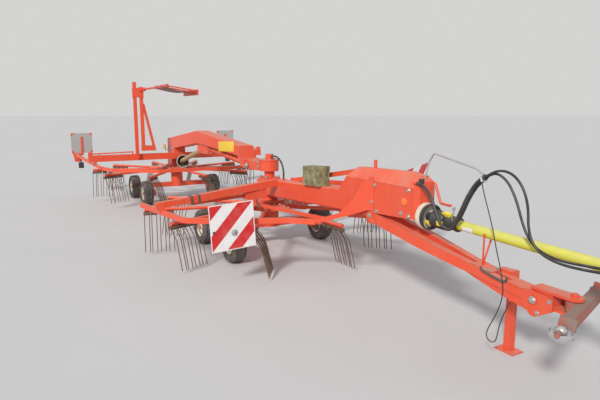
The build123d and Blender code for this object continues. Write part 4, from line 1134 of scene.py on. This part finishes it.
def shaft_lever():
    lever = Shape()
    base = SHAFT_BACK + SHAFT_RUN * LEVER_ALONG + LEVER_FOOT
    lever.pipe([base + Vector(bend) for bend in LEVER_BENDS], 0.0055, 8)
    lever.turned(base + KNOB_FOOT, (0.1, 0, 1), KNOB_PROFILE, 14)
    lever.done("shaft_lever", "input_shaft", worn_steel, "bright_steel")


# Blank patch round the guard tube
PATCH_ALONG = (0.425, 0.515)
PATCH_RADIUS = 0.0356
PATCH_START = 170
PATCH_STEP = 9
PATCH_FACES = 8


def shaft_patch():
    patch = Shape()
    back, front = [
        [
            patch.mesh.verts.new(
                SHAFT_BACK + SHAFT_RUN * along + shaft_way(PATCH_START + i * PATCH_STEP) * PATCH_RADIUS
            )
            for i in range(PATCH_FACES + 1)
        ]
        for along in PATCH_ALONG
    ]
    for i in range(PATCH_FACES):
        patch.mesh.faces.new((back[i], back[i + 1], front[i + 1], front[i]))
    patch.done("shaft_patch", "input_shaft", label_white, "cream_paint")


# Rolled lip of the cone below the boom
LIP_AT = at(-3575, 0, 722)
LIP_RADIUS = 0.108


def cone_lip():
    lip = Shape()
    lip.pipe([LIP_AT + Vector((0, y, z)) for y, z in turn_spots(LIP_RADIUS, 40)], 0.0065, 8, True)
    lip.done("cone_lip", "rear_frame", cream_paint, "cream_paint")


# Bent rods: one on the right drawbar beam, one under the right side arm
DRAWBAR_ROD = (
    (3340, -74, 600), (3353, -84, 586), (3440, -84, 566),
    (3527, -80, 552), (3550, -80, 566), (3556, -80, 590),
)
SIDE_ROD = ((410, -355, 640), (520, -400, 636), (700, -480, 640), (939, -560, 655))


def bent_rods():
    bent = Shape()
    bent.pipe([at(*point) for point in DRAWBAR_ROD], 0.007, 10)
    bent.pipe([at(*point) for point in SIDE_ROD], 0.009, 10)
    bent.done("bent_rods", "frame", dark_steel, "bright_steel")


# Lid edge on the weathered box, which rises ahead as the beam below it does
BEAM_MID = 712
BEAM_HALF = 95
BEAM_RISE = 0.057
LID_LOW = 150
LID_HIGH = 193
LID_STRIPS = (
    (1053, 1370, -134.5, -132),
    (1053, 1370, -10, -7.5),
    (1052.5, 1055, -134, -8),
    (1368, 1370.5, -134, -8),
)


def beam_top(x):
    return BEAM_MID + BEAM_HALF + BEAM_RISE * x


def box_lid_edge():
    lid = Shape()
    for back, front, low_y, high_y in LID_STRIPS:
        corners = ((back, LID_LOW), (front, LID_LOW), (front, LID_HIGH), (back, LID_HIGH))
        outline = [at(x, low_y, beam_top(x) + rise) for x, rise in corners]
        lid.prism(outline, (0, (high_y - low_y) / 1000, 0))
    lid.done("box_lid_edge", "frame", finishes["khaki_coat"], "khaki_coat", 0.0008)


# Two collars near the outer joint of each side arm: metres back from it, and size
ARM_ROOT = (380, 100, 812)
ARM_JOINT = (441, 1130, 700)
COLLARS = ((0.02, 0.086), (0.10, 0.082))
COLLAR_LENGTH = 0.026


def arm_collars():
    collars = Shape()
    for side in SIDES:
        root, joint = [at(x, side * y, z) for x, y, z in (ARM_ROOT, ARM_JOINT)]
        run = (joint - root).normalized()
        for back, size in COLLARS:
            collars.block(joint - run * back, (COLLAR_LENGTH, size, size), run)
    collars.done("arm_collars", "frame", dark_steel, "bright_steel", 0.003)


boom_label()
box_reflectors()
box_slot()
box_flange()
weld_seams()
amber_reflector()
rear_panels()
board_discs()
shaft_sleeve()
shaft_cover_ring()
cone_lip()
shaft_lugs()
shaft_lever()
shaft_patch()
bent_rods()
box_lid_edge()
arm_collars()


# Curtain: one sheet from the bar down to the rail, sagging between
SHEET_BACK, SHEET_AHEAD = -2762, -2072
BAR_Y, BAR_Z = -630, 1966
RAIL_Y, RAIL_Z = -178, 1880
SHEET_EDGE = 4
RAIL_SHORT = 12
BAR_DROP = 18
RAIL_LIFT = 30
SAG = 30
SHEET_ROWS = 24
SHEET_COLUMNS = 30
HEM_RADIUS = 0.0225
HEM_END_RADIUS = 0.019
HEM_CHAMFER = 0.004


def sheet_point(down, along):
    """Place of the cloth at a share of the way down and of the way along."""
    belly = math.sin(math.pi * down)
    x = SHEET_BACK + SHEET_EDGE + (SHEET_AHEAD - SHEET_BACK - 2 * SHEET_EDGE) * along
    y = BAR_Y + (RAIL_Y - RAIL_SHORT - BAR_Y) * down
    straight = BAR_Z - BAR_DROP + (RAIL_Z + RAIL_LIFT - BAR_Z) * down
    sag = -SAG * belly * (0.85 + 0.15 * math.sin(math.pi * along))
    ripple = 1.5 * math.sin(along * 29 + 1.3) * down * (1 - down) * 4
    wave = 4 * math.sin(along * 11 + down * 3) * belly + ripple
    return at(x, y, straight + sag + wave)


def curtain_sheet():
    """The sheet and its length down the middle."""
    shape = Shape()
    grid = [
        [
            shape.mesh.verts.new(sheet_point(i / SHEET_ROWS, j / SHEET_COLUMNS))
            for j in range(SHEET_COLUMNS + 1)
        ]
        for i in range(SHEET_ROWS + 1)
    ]
    for upper, lower in zip(grid, grid[1:]):
        for j in range(SHEET_COLUMNS):
            shape.mesh.faces.new((upper[j], lower[j], lower[j + 1], upper[j + 1]))
    middle = [line[SHEET_COLUMNS // 2].co for line in grid]
    length = sum((low - high).length for high, low in zip(middle, middle[1:]))
    return shape, length


def cloth_finish():
    """Faded red cloth, stained, with painted shade on its underside (a duller, browner copy of its red),
    with stronger colour at its hems.
    """
    coat = Coat("curtain_cloth", Sheen_Weight=0.15)
    x, y = coat.parts(coat.spot())[:2]
    up = coat.facing()[2]
    weave = ((x * 2600).sine() * (y * 2600).sine()) * 0.5 + 0.5
    clouds = coat.noise(7, 5)
    stain = (clouds * 2.2 - 0.75).clip() * 0.75
    top = coat.mix(stain, (0.34, 0.045, 0.030), (0.24, 0.16, 0.12))
    # Painted shade: the underside takes a duller, browner copy of the cloth's red
    painted_shade_under = coat.mix(stain, (0.17, 0.085, 0.065), (0.21, 0.165, 0.14))
    hem = (y < -0.600).clip() + (y > -0.215).clip()
    # Painted shade: downward faces get the shaded copy, upward faces the red
    tone = coat.mix((up > 0).clip(), painted_shade_under, top)
    tone = coat.mix((hem * 0.85).clip(), tone, (0.50, 0.045, 0.028))
    return coat.finish(tone, 0.85 - stain * 0.1, weave + clouds * 2, 0.3, 0.0008)


def curtain_hem(cloth):
    """Rolled hem along the bar."""
    hem = Shape()
    length = (SHEET_AHEAD - SHEET_BACK) / 1000
    profile = (
        (0, HEM_END_RADIUS), (HEM_CHAMFER, HEM_RADIUS),
        (length - HEM_CHAMFER, HEM_RADIUS), (length, HEM_END_RADIUS),
    )
    hem.turned(at(SHEET_BACK, BAR_Y, BAR_Z), AHEAD, profile, 20)
    hem.done("curtain_hem", "curtain", cloth, "cloth")


cloth = cloth_finish()
sheet_shape, sheet_length = curtain_sheet()
sheet = sheet_shape.done("soft_curtain", "curtain", cloth, "cloth", 0, 80)
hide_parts("curtain_sheet")
curtain_hem(cloth)


# Floor, sky and sun
FLOOR_SIZE = 400
FLOOR_DARK = (0.50, 0.485, 0.465)
FLOOR_PALE = (0.62, 0.605, 0.585)
SKY_COLOUR = (0.88, 0.92, 1.0)
SKY_LIGHT = 0.62
BACKDROP = (0.66, 0.655, 0.645)
SUN_LIGHT = 2.9
SUN_ANGLE = math.radians(8)
SUN_WAY = Vector((-0.56, 0.70, -0.60))


def make_floor():
    bpy.ops.mesh.primitive_plane_add(size=FLOOR_SIZE)
    floor = bpy.context.object
    floor.name = "floor"
    ground = Coat("pale_ground")
    grain = ground.noise(40, 4)
    wide = ground.noise(0.6, 3)
    tone = ground.mix((grain * 0.5 + wide * 0.5).clip(), FLOOR_DARK, FLOOR_PALE)
    floor.data.materials.append(ground.finish(tone, 0.9, grain, 0.1, 0.002))


def make_sky():
    """One light for the object, and a plain backdrop for what the camera, metal and glass show."""
    world = bpy.data.worlds.new("sky")
    bpy.context.scene.world = world
    world.use_nodes = True
    air = world.node_tree
    light = air.nodes["Background"]
    join(air, light.inputs["Color"], SKY_COLOUR)
    join(air, light.inputs["Strength"], SKY_LIGHT)
    backdrop = add_node(air, "ShaderNodeBackground", None, {"Color": BACKDROP})
    rays = add_node(air, "ShaderNodeLightPath").outputs
    seen = rays["Is Camera Ray"]
    for ray in ("Is Glossy Ray", "Is Transmission Ray"):
        seen = add_node(air, "ShaderNodeMath", {"operation": "MAXIMUM"}, {0: seen, 1: rays[ray]}).outputs[0]
    choice = add_node(
        air, "ShaderNodeMixShader", None, {0: seen, 1: light.outputs[0], 2: backdrop.outputs[0]}
    )
    air.links.new(choice.outputs[0], air.nodes["World Output"].inputs[0])


def make_sun():
    data = bpy.data.lights.new("sun", "SUN")
    data.energy = SUN_LIGHT
    data.angle = SUN_ANGLE
    show("sun", data).rotation_euler = SUN_WAY.to_track_quat("-Z", "Y").to_euler()


make_floor()
make_sky()
make_sun()
